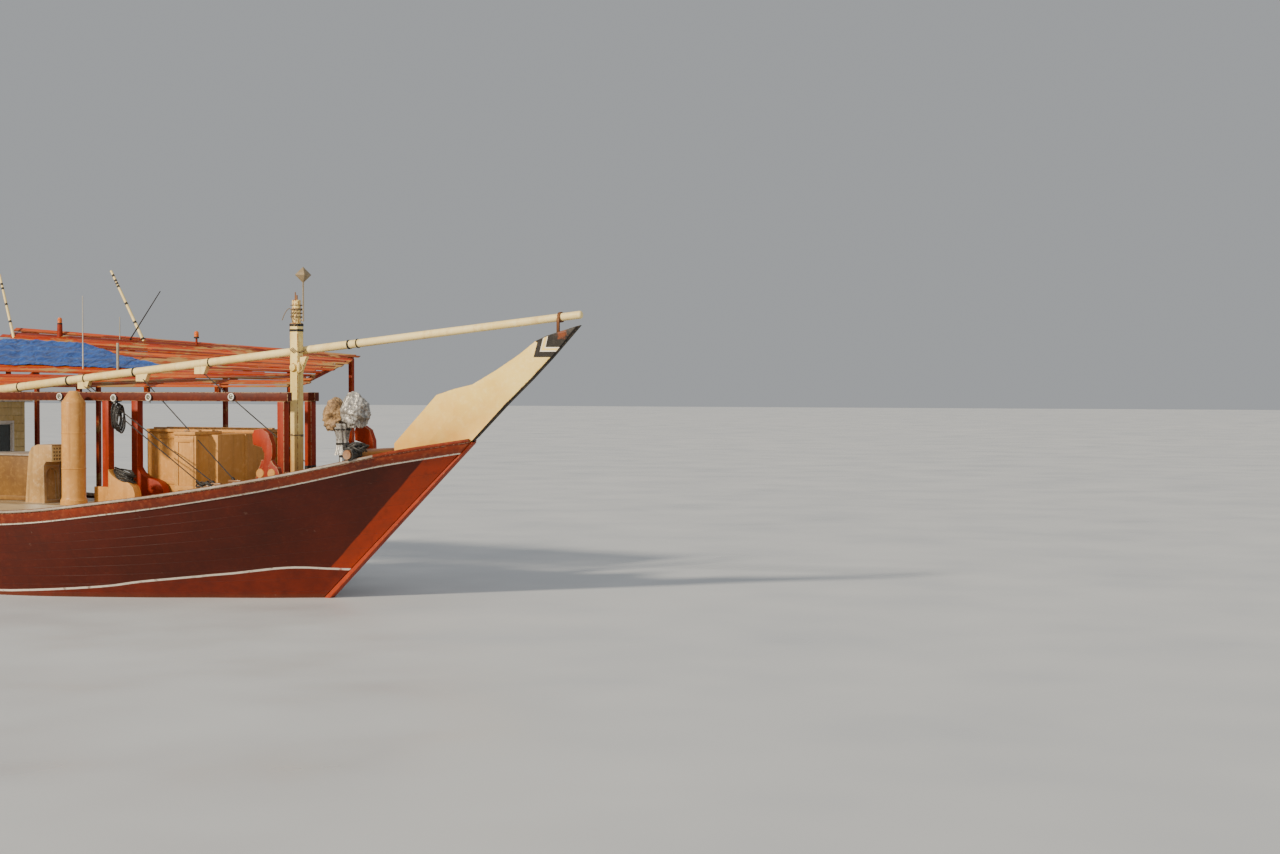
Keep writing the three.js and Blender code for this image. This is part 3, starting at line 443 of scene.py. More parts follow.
@dataclass(frozen=True)
class Cloth:
    """Sheeting: a woven ribbon pattern, creases of its own with painted shade in their hollows and painted
    highlights on the crumples, and a sheen.
    """

    name: str
    slot: str
    colour: str
    fold: str
    pale: str
    roughness: float = 0.5
    metal: float = 0.0
    weave: float = 260.0
    creases: float = 6.0

    def material(self) -> bpy.types.Material:
        """The finished material."""
        ready = bpy.data.materials.get(self.name)
        if ready:
            return ready
        g = Graph(self.name)
        crumple = g.noise(self.creases, 7, 0.6, None, 1.2)
        # Painted shade: the fold tone darkens the hollows of the crumple relief.
        tone = g.mix(g.step(crumple, 0.38, 0.62), self.fold, self.colour)
        # Painted highlights: pale flecks lie over the crumples.
        tone = g.mix(g.step(g.noise(self.creases * 2.3, 6, 0.7, None, 0.8), 0.56, 0.72, 0.8), tone, self.pale)
        woven = g.math("SINE", g.math("MULTIPLY", g.part("X"), self.weave))
        woven = g.math("MULTIPLY", woven, g.math("SINE", g.math("MULTIPLY", g.part("Y"), self.weave)))
        relief = g.bump(woven, 0.0006, g.bump(crumple, 0.012))
        rough = g.math("ADD", g.step(crumple, 0.3, 0.7, 0.2), self.roughness - 0.1)
        g.surface(Base_Color=tone, Roughness=rough, Metallic=self.metal, Normal=relief, Sheen_Weight=0.15)
        return g.material


@dataclass(frozen=True)
class Cordage:
    """Laid rope: strands that wind round it, with painted shade between them."""

    name: str
    slot: str
    colour: str
    fuzz_and_gap_shade: str
    lay: float = 0.045

    def material(self) -> bpy.types.Material:
        """The finished material, which reads how far along and round a point is."""
        ready = bpy.data.materials.get(self.name)
        if ready:
            return ready
        g = Graph(self.name)
        turns = g.math("ADD", g.math("DIVIDE", g.marked("run"), self.lay),
                       g.math("MULTIPLY", g.marked("round"), 3.0))
        strand = g.math("ABSOLUTE", g.math("SUBTRACT", g.math("FRACT", turns), 0.5))
        fuzz = g.noise(90, 4, 0.7)
        # Painted shade: the hollows between the strands darken to the gap tone.
        tone = g.mix(g.step(strand, 0.5, 0.15), self.fuzz_and_gap_shade, self.colour)
        # Random darker fuzz, in the same dark tone.
        tone = g.mix(g.step(fuzz, 0.5, 0.8, 0.5), tone, self.fuzz_and_gap_shade)
        g.surface(Base_Color=tone, Roughness=g.step(fuzz, 0.0, 1.0, 1.0), Normal=g.bump(strand, -0.003))
        return g.material


@dataclass(frozen=True)
class Pane:
    """Tinted window glass with a film of salt."""

    name: str = "window glass"
    slot: str = "black_paint"
    tint: str = "3d4a4a"

    def material(self) -> bpy.types.Material:
        """The finished material."""
        ready = bpy.data.materials.get(self.name)
        if ready:
            return ready
        g = Graph(self.name)
        film = g.noise(3, 6, 0.7)
        g.surface(Base_Color=g.mix(g.step(film, 0.45, 0.8, 0.4), self.tint, "8a8d86"))
        g.surface(Roughness=g.step(film, 0.3, 0.9, 0.35), Transmission_Weight=0.85, IOR=1.45)
        return g.material


@dataclass(frozen=True)
class Lens:
    """Moulded coloured plastic of a lamp, ribbed and a little crazed."""

    name: str
    slot: str
    colour: str
    dusty: str

    def material(self) -> bpy.types.Material:
        """The finished material."""
        ready = bpy.data.materials.get(self.name)
        if ready:
            return ready
        g = Graph(self.name)
        ribs = g.math("SINE", g.math("MULTIPLY", g.part("Z"), 500.0))
        g.surface(Base_Color=g.mix(g.step(g.noise(20, 5, 0.7), 0.4, 0.75), self.colour, self.dusty))
        g.surface(Roughness=g.step(g.noise(40, 3), 0.2, 1.0, 0.5), Normal=g.bump(ribs, 0.001))
        return g.material


Finish = Paint | Timber | SlatPaint | Cloth | Cordage | Pane | Lens

HULL = HullPaint("hull paint", "hull_red", "54190a", "451306", "66260f", "b5a390", "30140a",
                 0.42, 0.4, 0.16, 0.28)
HULL_RED = Paint("red bulwark paint", "hull_red", "6c200a", "5a1a08", "80341a", "b5a390", "35190f",
                 0.5, 0.5, 0.25)
STEM_POST = Paint("stem post paint", "stem_red", "9a3514", "862c10", "ab4c24", "a5755a", "5c2413",
                  0.45, 0.1, 0.06, 0.3)
RUB_BROWN = Paint("rub band varnish", "rub_brown", "86300e", "601f09", "ae5c32", "c0a480", "30120a",
                  0.34, 0.4, 0.4, grain=Along.LENGTH, coat=0.15)
CAP_GREY = Paint("cap rail", "cap_grey", "a79d90", "8a7c6c", "cfc8bd", "6f4a33", "4d3527",
                 0.7, 0.75, 0.7, grain=Along.LENGTH, grain_depth=0.003)
MOULDING = Paint("white moulding", "white_paint", "eae3d2", "dbd1bc", "f6f1e6", "a5755a", "8a6a55",
                 0.5, 0.2, 0.12)
MAST = PostPaint("king post paint", "cream_paint", "f2da90", "e2c672", "f8ecba", "9a5c2c", "a3602a",
                 0.45, 0.5, 0.35, 0.5, grain=Along.HEIGHT, foot_height=2.1, head_height=3.5)
BOARD = PostPaint("stem board paint", "cream_paint", "f4d67c", "ecc868", "fae6a4", "b48a52", "c79a55",
                  0.38, 0.3, 0.06, 0.12, foot="dc9a3e", foot_height=2.5, head_height=4.1)
SPAR_CREAM = Paint("spar paint", "cream_paint", "f4dd9c", "e3c87c", "faeec2", "a9784a", "a8722f",
                   0.42, 0.4, 0.25, 0.35, grain=Along.LENGTH)
BLACK = Paint("black paint", "black_paint", "2b2622", "1b1815", "46403a", "6b5a44", "4b3b2c", 0.5, 0.4, 0.2)
TAN = Paint("tan paint", "tan_paint", "d0964e", "b6803e", "e0b070", "8c6a48", "7a5028", 0.5, 0.5, 0.25)
TAN_STEEL = Paint("tan steel", "tan_steel", "d69c52", "bc8644", "e6b876", "7d4a2a", "84552c",
                  0.38, 0.5, 0.3, 0.5)
BRICK = Paint("brick-red paint", "brick_paint", "9a2c04", "7e2203", "ae4212", "a3825f", "41190f",
              0.5, 0.6, 0.4)
BEAM_RED = Paint("beam paint", "brick_paint", "601f07", "4a1605", "7e3816", "a3825f", "41190f",
                 0.55, 0.6, 0.4, grain=Along.LENGTH)
# The deck box's brown is painted shade: a darker brown than the tan paint, on its faces and plinth.
BOX_SHADE_BROWN = Paint("deck box painted shade", "tan_paint", "8c6632", "6c4b26", "a98248", "8c6a48", "5c3c20", 0.5, 0.5, 0.35)
VENT_PAINT = Paint("vent paint", "tan_steel", "c69c60", "9a7648", "dcc094", "a89880", "5c4630",
                   0.5, 0.8, 0.75, 0.6)
WHITE = Paint("white paint", "white_paint", "e9e5da", "dcd6c8", "f6f4ee", "9c8468", "8b7a63", 0.4, 0.4, 0.15)
HOUSE_CREAM = Paint("house boards", "cream_house", "e6cf8e", "d6b974", "f0e0b2", "a3855c", "8a6a40",
                    0.5, 0.4, 0.2)
STEEL = Paint("galvanised steel", "steel", "8b8f90", "74797b", "aeb1b0", "7a4526", "5b3a26",
              0.42, 0.5, 0.5, metal=0.7)
RUSTY = Paint("rusty steel", "steel", "74492a", "56321c", "9a7450", "43240f", "35200f",
              0.6, 0.5, 0.4, metal=0.25)
DULL_TIN = Paint("dull tin", "steel", "a6967a", "877456", "c6b89c", "6b4a30", "5b4630",
                 0.5, 0.4, 0.35, metal=0.15)
TIP_BLACK = TipPaint("stem tip paint", "black_paint", "2b2622", "1b1815", "4b453e", "6b5a44", "4b3b2c",
                     0.5, 0.3, 0.2)
BRONZE = Paint("bronze", "bronze", "a9803f", "7d6236", "c19a58", "4f6b52", "3c4a3a", 0.3, 0.5, 0.5, metal=0.9)
FOULED = Paint("keel paint", "hull_red", "83351f", "6a2a1a", "96503a", "6b5a44", "3b3a26", 0.7, 0.4, 0.6, 0.5)
LOG_WOOD = Timber("log wood", "bare_wood", "9a6b45", "6f4529", "a5927a", Along.BREADTH)
CABIN_WOOD = Timber("cabin wood", "bare_wood", "8a5a34", "5f3b20", "9a7a58", Along.BREADTH)
DECK_WOOD = Timber("deck planks", "deck_wood", "a08a68", "7d684a", "b5aa96", Along.LENGTH, 0.14)
SLATS = SlatPaint()
# Each sheeting's fold tone is painted crease shade, and its pale tone is painted highlight.
TARPAULIN = Cloth("blue tarpaulin", "blue_sheet", "164a98", "0a285e", "3f78c4", 0.42)
SILVER_SHEET = Cloth("silvery sheeting", "foil_sheet", "b7b3ab", "77736d", "eceae4", 0.34, 0.35, creases=9.0)
SACKING = Cloth("tan sheeting", "foil_sheet", "a98658", "6c5030", "d8be90", 0.6, creases=12.0)
# Each rope's second tone is painted shade between its strands, also used for its darker fuzz.
BLACK_ROPE = Cordage("black rope", "black_paint", "33302c", "12100f", 0.06)
WORN_ROPE = Cordage("worn rope", "bare_wood", "8c7452", "4c3b26")
ROD_GREY = Paint("grey rod", "steel", "b9b4a6", "98927f", "d6d2c4", "7a4526", "5b4a3a",
                 0.5, 0.3, 0.2, metal=0.1)
GLASS = Pane()
AMBER = Lens("amber lens", "stem_red", "e2701d", "a34f1c")
LAMP_GLASS = Lens("lamp glass", "white_paint", "6f6e60", "4c4b42")


class Form:
    """A mesh in the making, shaped with bmesh operators and closed into a named piece."""

    def __init__(self, mesh: bpy.types.Mesh | None = None) -> None:
        """Starts empty, or with a mesh's own faces."""
        self.bm = bmesh.new()
        if mesh:
            self.bm.from_mesh(mesh)
        self.layers = {name: self.bm.verts.layers.float.new(name)
                       for name in ("run", "round", "tint", "boot", "bow", "strake")}
        self.worn = self.bm.faces.layers.float.new("wear")

    def block(self, low: Point, high: Point) -> list[bmesh.types.BMVert]:
        """Adds a squared block between two corners."""
        size = Vector(high) - Vector(low)
        place = Matrix.Translation((Vector(low) + Vector(high)) / 2) @ Matrix.Diagonal((*size, 1))
        return bmesh.ops.create_cube(self.bm, size=1, matrix=place)["verts"]

    def timber(self, start: Point, end: Point, width: float, depth: float, tint: float = 0.0,
               up: Point = (0, 0, 1)) -> list[bmesh.types.BMVert]:
        """Adds a squared timber between two points.

        Args:
            start: the middle of one end.
            end: the middle of the other end.
            width: its level breadth.
            depth: its upright depth.
            tint: the share of its own tone.
            up: the way its upper face looks.

        Returns:
            The timber's corners.
        """
        a, b = Vector(start), Vector(end)
        way = (b - a).normalized()
        side = Vector(up).cross(way)
        side = side.normalized() if side.length > 1e-4 else Vector((0, 1, 0))
        turn = Matrix((way, side, way.cross(side))).transposed().to_4x4()
        place = Matrix.Translation((a + b) / 2) @ turn @ Matrix.Diagonal(((b - a).length, width, depth, 1))
        verts = bmesh.ops.create_cube(self.bm, size=1, matrix=place)["verts"]
        for v in verts:
            v[self.layers["tint"]] = tint
        return verts

    def pole(self, start: Point, end: Point, radius: float, tip: float | None = None,
             sides: int = 20) -> None:
        """Adds a round pole between two points, tapered where tip is given."""
        a, b = Vector(start), Vector(end)
        turn = (b - a).to_track_quat("Z", "Y").to_matrix().to_4x4()
        bmesh.ops.create_cone(
            self.bm, cap_ends=True, segments=sides, radius1=radius, radius2=radius if tip is None else tip,
            depth=(b - a).length, matrix=Matrix.Translation((a + b) / 2) @ turn,
        )

    def ball(self, centre: Point, radius: float, shape: Point = (1, 1, 1),
             fine: int = 16) -> list[bmesh.types.BMVert]:
        """Adds a ball, stretched by shape."""
        place = Matrix.Translation(centre) @ Matrix.Diagonal((*shape, 1))
        made = bmesh.ops.create_uvsphere(self.bm, u_segments=fine, v_segments=fine // 2, radius=radius,
                                         matrix=place)
        return made["verts"]

    def turned(self, x: float, y: float, profile: Sequence[tuple[float, float]], sides: int = 48) -> None:
        """Spins a profile of radius and height round the upright through (x, y)."""
        row = [self.bm.verts.new((x + r, y, z)) for r, z in profile]
        edges = [self.bm.edges.new(pair) for pair in zip(row, row[1:])]
        bmesh.ops.spin(
            self.bm, geom=[*row, *edges], cent=(x, y, 0), axis=(0, 0, 1), angle=math.tau, steps=sides,
            use_merge=True,
        )
        near = [v for v in self.bm.verts if (v.co.xy - Vector((x, y))).length < 1e-5]
        bmesh.ops.remove_doubles(self.bm, verts=near, dist=1e-5)

    def skin(self, rings: Rings, mark: Callable[[bmesh.types.BMVert, int, int], None] | None = None,
             closed: bool = True, capped: bool = True) -> None:
        """Stretches a grid over a row of rings.

        Args:
            rings: rings of equal length, each a list of points.
            mark: sets values on a vertex, given its ring and its place on the ring.
            closed: whether each ring joins up.
            capped: whether the two end rings are filled.
        """
        rows, columns = len(rings), len(rings[0]) + closed
        verts = bmesh.ops.create_grid(self.bm, x_segments=rows - 1, y_segments=columns - 1, size=1)["verts"]
        for v in verts:
            i = round((v.co.x + 1) / 2 * (rows - 1))
            j = round((v.co.y + 1) / 2 * (columns - 1)) % len(rings[0])
            v.co = rings[i][j]
            if mark:
                mark(v, i, j)
        if closed:
            bmesh.ops.remove_doubles(self.bm, verts=verts, dist=1e-6)
        if capped:
            bmesh.ops.holes_fill(self.bm, edges=[e for e in self.bm.edges if e.is_boundary], sides=0)

    def rope(self, points: Sequence[Point], radius: float, joined: bool = False, sides: int = 7) -> None:
        """Lays a rope of that radius along points, carrying its run and its round for the strands.

        Args:
            points: the middle line.
            radius: of the rope.
            joined: whether the last point meets the first.
            sides: faces round the rope.
        """
        line = [Vector(p) for p in points]
        if joined:
            line.append(line[0].copy())
        across, rings, runs = None, [], [0.0]
        for i, p in enumerate(line):
            ahead = line[min(i + 1, len(line) - 1)] - line[max(i - 1, 0)]
            if joined and i in (0, len(line) - 1):
                ahead = line[1] - line[-2]
            way = ahead.normalized()
            seed = across or way.orthogonal()
            across = (seed - way * seed.dot(way)).normalized()
            lift = way.cross(across)
            turns = [math.tau * k / sides for k in range(sides)]
            rings.append([tuple(p + radius * (math.cos(t) * across + math.sin(t) * lift)) for t in turns])
            if i:
                runs.append(runs[-1] + (p - line[i - 1]).length)

        def mark(v: bmesh.types.BMVert, i: int, j: int) -> None:
            """Keeps how far along and round the rope a vertex is."""
            v[self.layers["run"]] = runs[i]
            v[self.layers["round"]] = abs(2 * j / sides - 1)

        self.skin(rings, mark, capped=not joined)

    def wrap(self, centre: Point, way: Point, radius: float, turns: float, thick: float,
             squared: float = 0.0) -> None:
        """Winds a rope round a post or spar.

        Args:
            centre: the middle of the winding.
            way: the direction of the piece that it goes round.
            radius: of the piece.
            turns: how many times it goes round.
            thick: the rope's radius.
            squared: from 0 for a round piece to 1 for a square one.
        """
        axis = Vector(way).normalized()
        across = axis.orthogonal().normalized()
        if abs(axis.z) > 0.99:
            across = Vector((1, 0, 0))
        lift = axis.cross(across)
        steps = max(12, round(20 * turns))
        points = []
        for k in range(steps + 1):
            angle = math.tau * turns * k / steps
            c, s = math.cos(angle), math.sin(angle)
            reach = lerp(1.0, 0.96 / max(abs(c), abs(s)), squared) * (radius + thick * 0.8)
            shift = (k / steps - 0.5) * turns * thick * 2.0
            points.append(tuple(Vector(centre) + axis * shift + reach * (c * across + s * lift)))
        self.rope(points, thick)

    def plate(self, outline: Sequence[tuple[float, float]], y0: float, y1: float) -> None:
        """Adds a flat plate between two places across the boat, cut to an outline of x and z."""
        face = self.bm.faces.new([self.bm.verts.new((x, y0, z)) for x, z in outline])
        grown = bmesh.ops.extrude_face_region(self.bm, geom=[face])
        for v in (g for g in grown["geom"] if isinstance(g, bmesh.types.BMVert)):
            v.co.y = y1

    def thicken(self, depth: float) -> None:
        """Gives an open skin two faces, that far apart."""
        bmesh.ops.recalc_face_normals(self.bm, faces=self.bm.faces)
        bmesh.ops.solidify(self.bm, geom=self.bm.faces[:], thickness=depth)

    def ease(self, edge: float, angle: float = 28.0) -> None:
        """Rounds the sharp edges over that width and marks them for wear."""
        sharp = [e for e in self.bm.edges if e.is_manifold and e.calc_face_angle(0.0) > math.radians(angle)]
        made = bmesh.ops.bevel(
            self.bm, geom=sharp, offset=edge, offset_type="OFFSET", segments=2, profile=0.5, affect="EDGES",
            clamp_overlap=True, material=-1,
        )
        for f in made["faces"]:
            f[self.worn] = 1.0

    def piece(self, name: str, finish: Finish, body: str = "boat", replaces: Sequence[str] = (),
              smooth: float = 40.0) -> bpy.types.Object:
        """Closes the form into a finished object that rides on a body.

        Args:
            name: the piece's name.
            finish: what it is painted or made with.
            body: the body that it moves with.
            replaces: the CAD nodes that it stands for.
            smooth: edges sharper than this many degrees stay sharp.

        Returns:
            The object.
        """
        bmesh.ops.recalc_face_normals(self.bm, faces=self.bm.faces)
        mesh = bpy.data.meshes.new(name)
        self.bm.to_mesh(mesh)
        self.bm.free()
        mesh.materials.append(finish.material())
        mesh.polygons.foreach_set("use_smooth", [True] * len(mesh.polygons))
        mesh.set_sharp_from_angle(angle=math.radians(smooth))
        thing = bpy.data.objects.new(name, mesh)
        bpy.context.scene.collection.objects.link(thing)
        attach(thing, body)
        if replaces:
            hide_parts(*replaces)
        log.info("%s: %d faces", name, len(mesh.polygons))
        return thing


def body_of(node: str) -> str:
    """The body that a CAD node moves with."""
    return frame["nodes"][node]["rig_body"]


def eased(node: str, finish: Finish, edge: float = 0.008, angle: float = 28.0) -> bpy.types.Object:
    """Stands a CAD node's merged copy, its sharp edges rounded and marked for wear, in its place.

    Args:
        node: the CAD node.
        finish: what the copy is painted or made with.
        edge: how wide the rounding is.
        angle: edges that turn by more than this many degrees are rounded.

    Returns:
        The new object.
    """
    form = Form(frame["nodes"][node].data)
    bmesh.ops.remove_doubles(form.bm, verts=form.bm.verts, dist=1e-5)
    bmesh.ops.dissolve_limit(form.bm, angle_limit=math.radians(0.6), verts=form.bm.verts, edges=form.bm.edges)
    form.ease(edge, angle)
    return form.piece(f"{node}_finished", finish, body_of(node), [node])


@dataclass(frozen=True)
class Station:
    """One section across the hull: where it stands, and its half breadth at a height."""

    a_rail: float
    a_keel: float
    z_keel: float
    z_rail: float
    z_deck: float
    water: float
    rail: float
    full: float
    keel_half: float = 0.08

    def a(self, z: float) -> float:
        """How far aft the raked section stands at a height."""
        return lerp(self.a_keel, self.a_rail, (z - self.z_keel) / (self.z_rail - self.z_keel))

    def half(self, z: float) -> float:
        """The half breadth at a height."""
        if z < 0:
            share = math.sin((z - self.z_keel) / -self.z_keel * math.pi / 2) ** lerp(1.05, 0.5, self.full)
            return lerp(self.keel_half, self.water, share)
        return lerp(self.water, self.rail, (z / self.z_rail) ** lerp(1.0, 0.8, self.full))

    def at(self, z: float, proud: float = 0.0) -> Point:
        """The point on the port side at a height, standing proud of the planking."""
        return (aft(self.a(z)), self.half(z) + proud, z)


class HullLines:
    """The hull's fair curves, which the planking, the rails and the mouldings share.

    The columns are metres aft of the forefoot and the value there.
    """

    RAIL_END = (-3.12, 16.5)
    KEEL_END = (1.5, 15.64)
    RAIL_HALF = ((-3.12, 0.09), (-2.6, 0.48), (-1.92, 0.95), (-1.17, 1.43), (-0.41, 1.86), (0.76, 2.31),
                 (2.64, 2.75),
                 (5.44, 2.95), (8.5, 2.96), (11.5, 2.8), (14.0, 2.5), (16.5, 2.08))
    WATER_HALF = ((0.15, 0.09), (1.0, 0.59), (2.2, 1.15), (3.2, 1.64), (5.6, 2.43), (8.5, 2.72), (11.5, 2.5),
                  (14.0, 1.85), (15.7, 1.15))
    SHEER = ((-3.12, 2.97), (-1.92, 2.74), (-1.17, 2.55), (-0.41, 2.37), (0.76, 2.15), (2.64, 1.87),
             (5.44, 1.59),
             (8.0, 1.54), (10.5, 1.69), (13.0, 2.06), (16.5, 2.8))
    BULWARK = ((-3.12, 0.43), (2.0, 0.45), (9.0, 0.47), (12.0, 0.7), (16.5, 1.0))
    BOTTOM = ((1.5, -1.25), (4.5, -1.32), (9.5, -1.25), (12.5, -0.9), (15.64, -0.12))
    FULLNESS = ((-3.12, 0.0), (2.0, 0.25), (6.0, 0.85), (9.5, 1.0), (13.0, 0.6), (16.5, 0.2))
    BOOT = ((-3.2, 0.52), (-0.44, 0.545), (0.34, 0.59), (1.28, 0.49), (2.24, 0.39), (3.08, 0.3), (3.68, 0.21),
            (4.57, 0.14), (5.9, 0.075), (9.0, 0.06), (13.0, 0.16), (16.5, 0.34))
    BOW_PAINT = 0.43  # how far the paler paint reaches aft of the stem's leading edge

    def __init__(self) -> None:
        """Draws the curves."""
        self.rail_half, self.water_half = fair(self.RAIL_HALF), fair(self.WATER_HALF)
        self.sheer, self.bulwark = fair(self.SHEER), fair(self.BULWARK)
        self.bottom, self.fullness, self.boot = fair(self.BOTTOM), fair(self.FULLNESS), fair(self.BOOT)

    def station(self, u: float) -> Station:
        """The section a share u of the way from the transom to the stem."""
        a_rail = lerp(self.RAIL_END[1], self.RAIL_END[0], u)
        a_keel = lerp(self.KEEL_END[1], self.KEEL_END[0], u)
        z_keel, z_rail = self.bottom(a_keel), self.sheer(a_rail)
        at_water = lerp(a_keel, a_rail, -z_keel / (z_rail - z_keel))
        return Station(a_rail, a_keel, z_keel, z_rail, z_rail - self.bulwark(a_rail),
                       self.water_half(at_water),
                       self.rail_half(a_rail), self.fullness(a_rail))

    def stations(self, count: int, first: float = 0.0, last: float = 1.0) -> list[Station]:
        """Sections that bunch towards the bow, between two shares of the length."""
        return [self.station(lerp(first, last, 1 - (1 - i / count) ** 1.15)) for i in range(count + 1)]

    def station_at(self, a: float) -> Station:
        """The section whose rail stands at a place."""
        low, high = self.RAIL_END
        return self.station((high - a) / (high - low))

    def above_boot(self, p: Point) -> float:
        """How high a point stands over the boot stripe's lower edge."""
        return p[2] - self.boot(FOREFOOT_X - p[0])

    def aft_of_bow(self, p: Point) -> float:
        """How far aft a point stands of the paler paint at the bow."""
        return FOREFOOT_X - p[0] + p[2] / STEM_SLOPE - self.BOW_PAINT


LINES = HullLines()


def port_and_starboard(rings: Rings) -> tuple[Rings, Rings]:
    """Rings drawn for the port side, and the same for the starboard side."""
    return rings, [[(x, -y, z) for x, y, z in ring] for ring in rings]


@dataclass
class Planking:
    """The hull's skin with its bulwarks, the deck, and the frame heads inside the bulwarks."""

    plank: float = 0.09
    count: int = 110
    rows_below: int = 10
    rows_above: int = 16
    head_spacing: float = 0.52
    head_width: float = 0.1
    head_depth: float = 0.07

    def ring(self, s: Station) -> Rings:
        """One ring: up the port side, down inside it, over the deck and round to the keel."""
        below = [s.z_keel * (1 - k / self.rows_below) for k in range(self.rows_below)]
        above = [s.z_rail * k / self.rows_above for k in range(self.rows_above + 1)]
        outer = [s.at(z) for z in below + above]
        inner = [
            (aft(s.a(z)), max(s.half(z) - self.plank, 0.0), z)
            for z in (s.z_rail, lerp(s.z_rail, s.z_deck, 0.5), s.z_deck)
        ]
        side = outer + inner
        return side + [(x, -y, z) for x, y, z in reversed(side)]

    def skin(self) -> None:
        """Builds the hull and bulwarks as one closed skin."""
        form = Form()
        rings = [self.ring(s) for s in LINES.stations(self.count)]
        rows = self.rows_below + self.rows_above

        def mark(v: bmesh.types.BMVert, i: int, j: int) -> None:
            """Keeps the paint lines' distances and the strake on a vertex."""
            v[form.layers["boot"]] = LINES.above_boot(v.co)
            v[form.layers["bow"]] = LINES.aft_of_bow(v.co)
            v[form.layers["strake"]] = min(j, len(rings[0]) - 1 - j, rows) / rows

        form.skin(rings, mark)
        form.piece("planking", HULL, replaces=["hull", "bulwark_port", "bulwark_starboard", "bow_block"],
                   smooth=35)

    def deck(self) -> None:
        """Lays the deck planks between the bulwarks."""
        form = Form()
        rings = []
        for s in LINES.stations(self.count, 0.0, 0.985):
            half = max(s.half(s.z_deck) - self.plank - 0.002, 0.03)
            top, low = s.z_deck + 0.003, s.z_deck - 0.02
            corners = ((half, low), (half, top), (-half, top), (-half, low))
            rings.append([(aft(s.a(s.z_deck)), y, z) for y, z in corners])
        form.skin(rings)
        form.piece("deck_planking", DECK_WOOD)

    def frame_heads(self) -> None:
        """Stands the frame heads inside the bulwarks, under the cap rails."""
        form = Form()
        a = -1.0
        while a < 16.0:
            s = LINES.station_at(a)
            inset = self.plank + self.head_depth / 2 - 0.004
            foot, head = s.at(s.z_deck - 0.01, -inset), s.at(s.z_rail, -inset)
            for side in (1, -1):
                form.timber((foot[0], side * foot[1], foot[2]), (head[0], side * head[1], head[2]),
                            self.head_depth, self.head_width)
            a += self.head_spacing
        form.ease(0.006)
        form.piece("frame_heads", HULL_RED)

    def build(self) -> None:
        """Builds the skin, the deck and the frame heads."""
        self.skin()
        self.deck()
        self.frame_heads()
        eased("stern_board", HULL_RED, 0.012)


@dataclass
class Rails:
    """The cap rails, the dark rub bands under them and the white mouldings."""

    count: int = 110
    inboard: float = 0.15
    outboard: float = 0.06
    height: float = 0.06
    band: float = 0.2
    proud: float = 0.035
    round_off: float = 0.012
    moulding: float = 0.027
    narrowest: float = 0.08
    stem_half: float = 0.076
    corner_area: float = 0.0042  # the faces smaller than this are the worn corners
    varnished_from: float = 1.75  # ahead of the forefoot the cap rail is varnished like the band

    def cap_ring(self, s: Station) -> list[Point]:
        """The cap rail's section, with its corners rounded."""
        low, high, r = s.z_rail + 0.0003, s.z_rail + self.height, self.round_off
        outer = s.half(s.z_rail) + self.outboard
        inner = max(s.half(s.z_rail) - self.inboard, self.narrowest)
        x = aft(s.a_rail)
        corners = [(outer - r, low), (outer, low + r), (outer, high - r), (outer - r, high),
                   (inner + r, high), (inner, high - r), (inner, low + r), (inner + r, low)]
        return [(x, y, z) for y, z in corners]

    def band_ring(self, s: Station, low: float, high: float, proud: float) -> list[Point]:
        """A moulding's section on the planking between two depths under the rail."""
        r = min(0.01, (high - low) / 4, proud / 2)
        rows = [(low, 0.0), (low, proud - r), (low + r, proud), (high - r, proud), (high, proud - r),
                (high, 0.0)]
        return [s.at(s.z_rail + z, out) for z, out in rows]

    def nose(self, ring: list[Point]) -> list[Point]:
        """A moulding's last section, carried on over the stem post to its leading edge."""
        inner = min(y for _, y, _ in ring)
        return [(FOREFOOT_X + z / STEM_SLOPE - 0.004, y - inner + self.stem_half, z) for _, y, z in ring]

    def sweep(self, name: str, section: Callable[[Station], list[Point]], finish: Finish, replaces: str = "",
              to_stem: bool = True) -> None:
        """Sweeps a section along both sides.

        Args:
            name: the pieces' name, before the side.
            section: draws the port section at a station.
            finish: what it is painted with.
            replaces: the CAD nodes' name, before the side.
            to_stem: whether it is carried on to the stem's leading edge.
        """
        rings = [section(s) for s in LINES.stations(self.count)]
        if to_stem:
            rings.append(self.nose(rings[-1]))
        for side, drawn in zip(("port", "starboard"), port_and_starboard(rings)):
            form = Form()
            form.skin(drawn)
            varnished = aft(-self.varnished_from) if finish is CAP_GREY else math.inf
            for f in form.bm.faces:
                f[form.worn] = float(f.calc_area() < self.corner_area
                                     and f.calc_center_median().x < varnished)
            stands_for = [f"{replaces}_{side}"] if replaces else []
            made = form.piece(f"{name}_{side}", finish, replaces=stands_for, smooth=50)
            if finish is CAP_GREY:
                made.data.materials.append(RUB_BROWN.material())
                for p in made.data.polygons:
                    p.material_index = int(p.center.x > varnished)

    def build(self) -> None:
        """Builds the rails, bands and mouldings of both sides."""
        self.sweep("cap_timber", self.cap_ring, CAP_GREY, "cap_rail", False)
        self.sweep("rub_timber", lambda s: self.band_ring(s, -self.band, 0.0, self.proud), RUB_BROWN,
                   "rub_band")
        under = -self.band - self.moulding
        self.sweep("white_line", lambda s: self.band_ring(s, under, -self.band, 0.022), MOULDING)


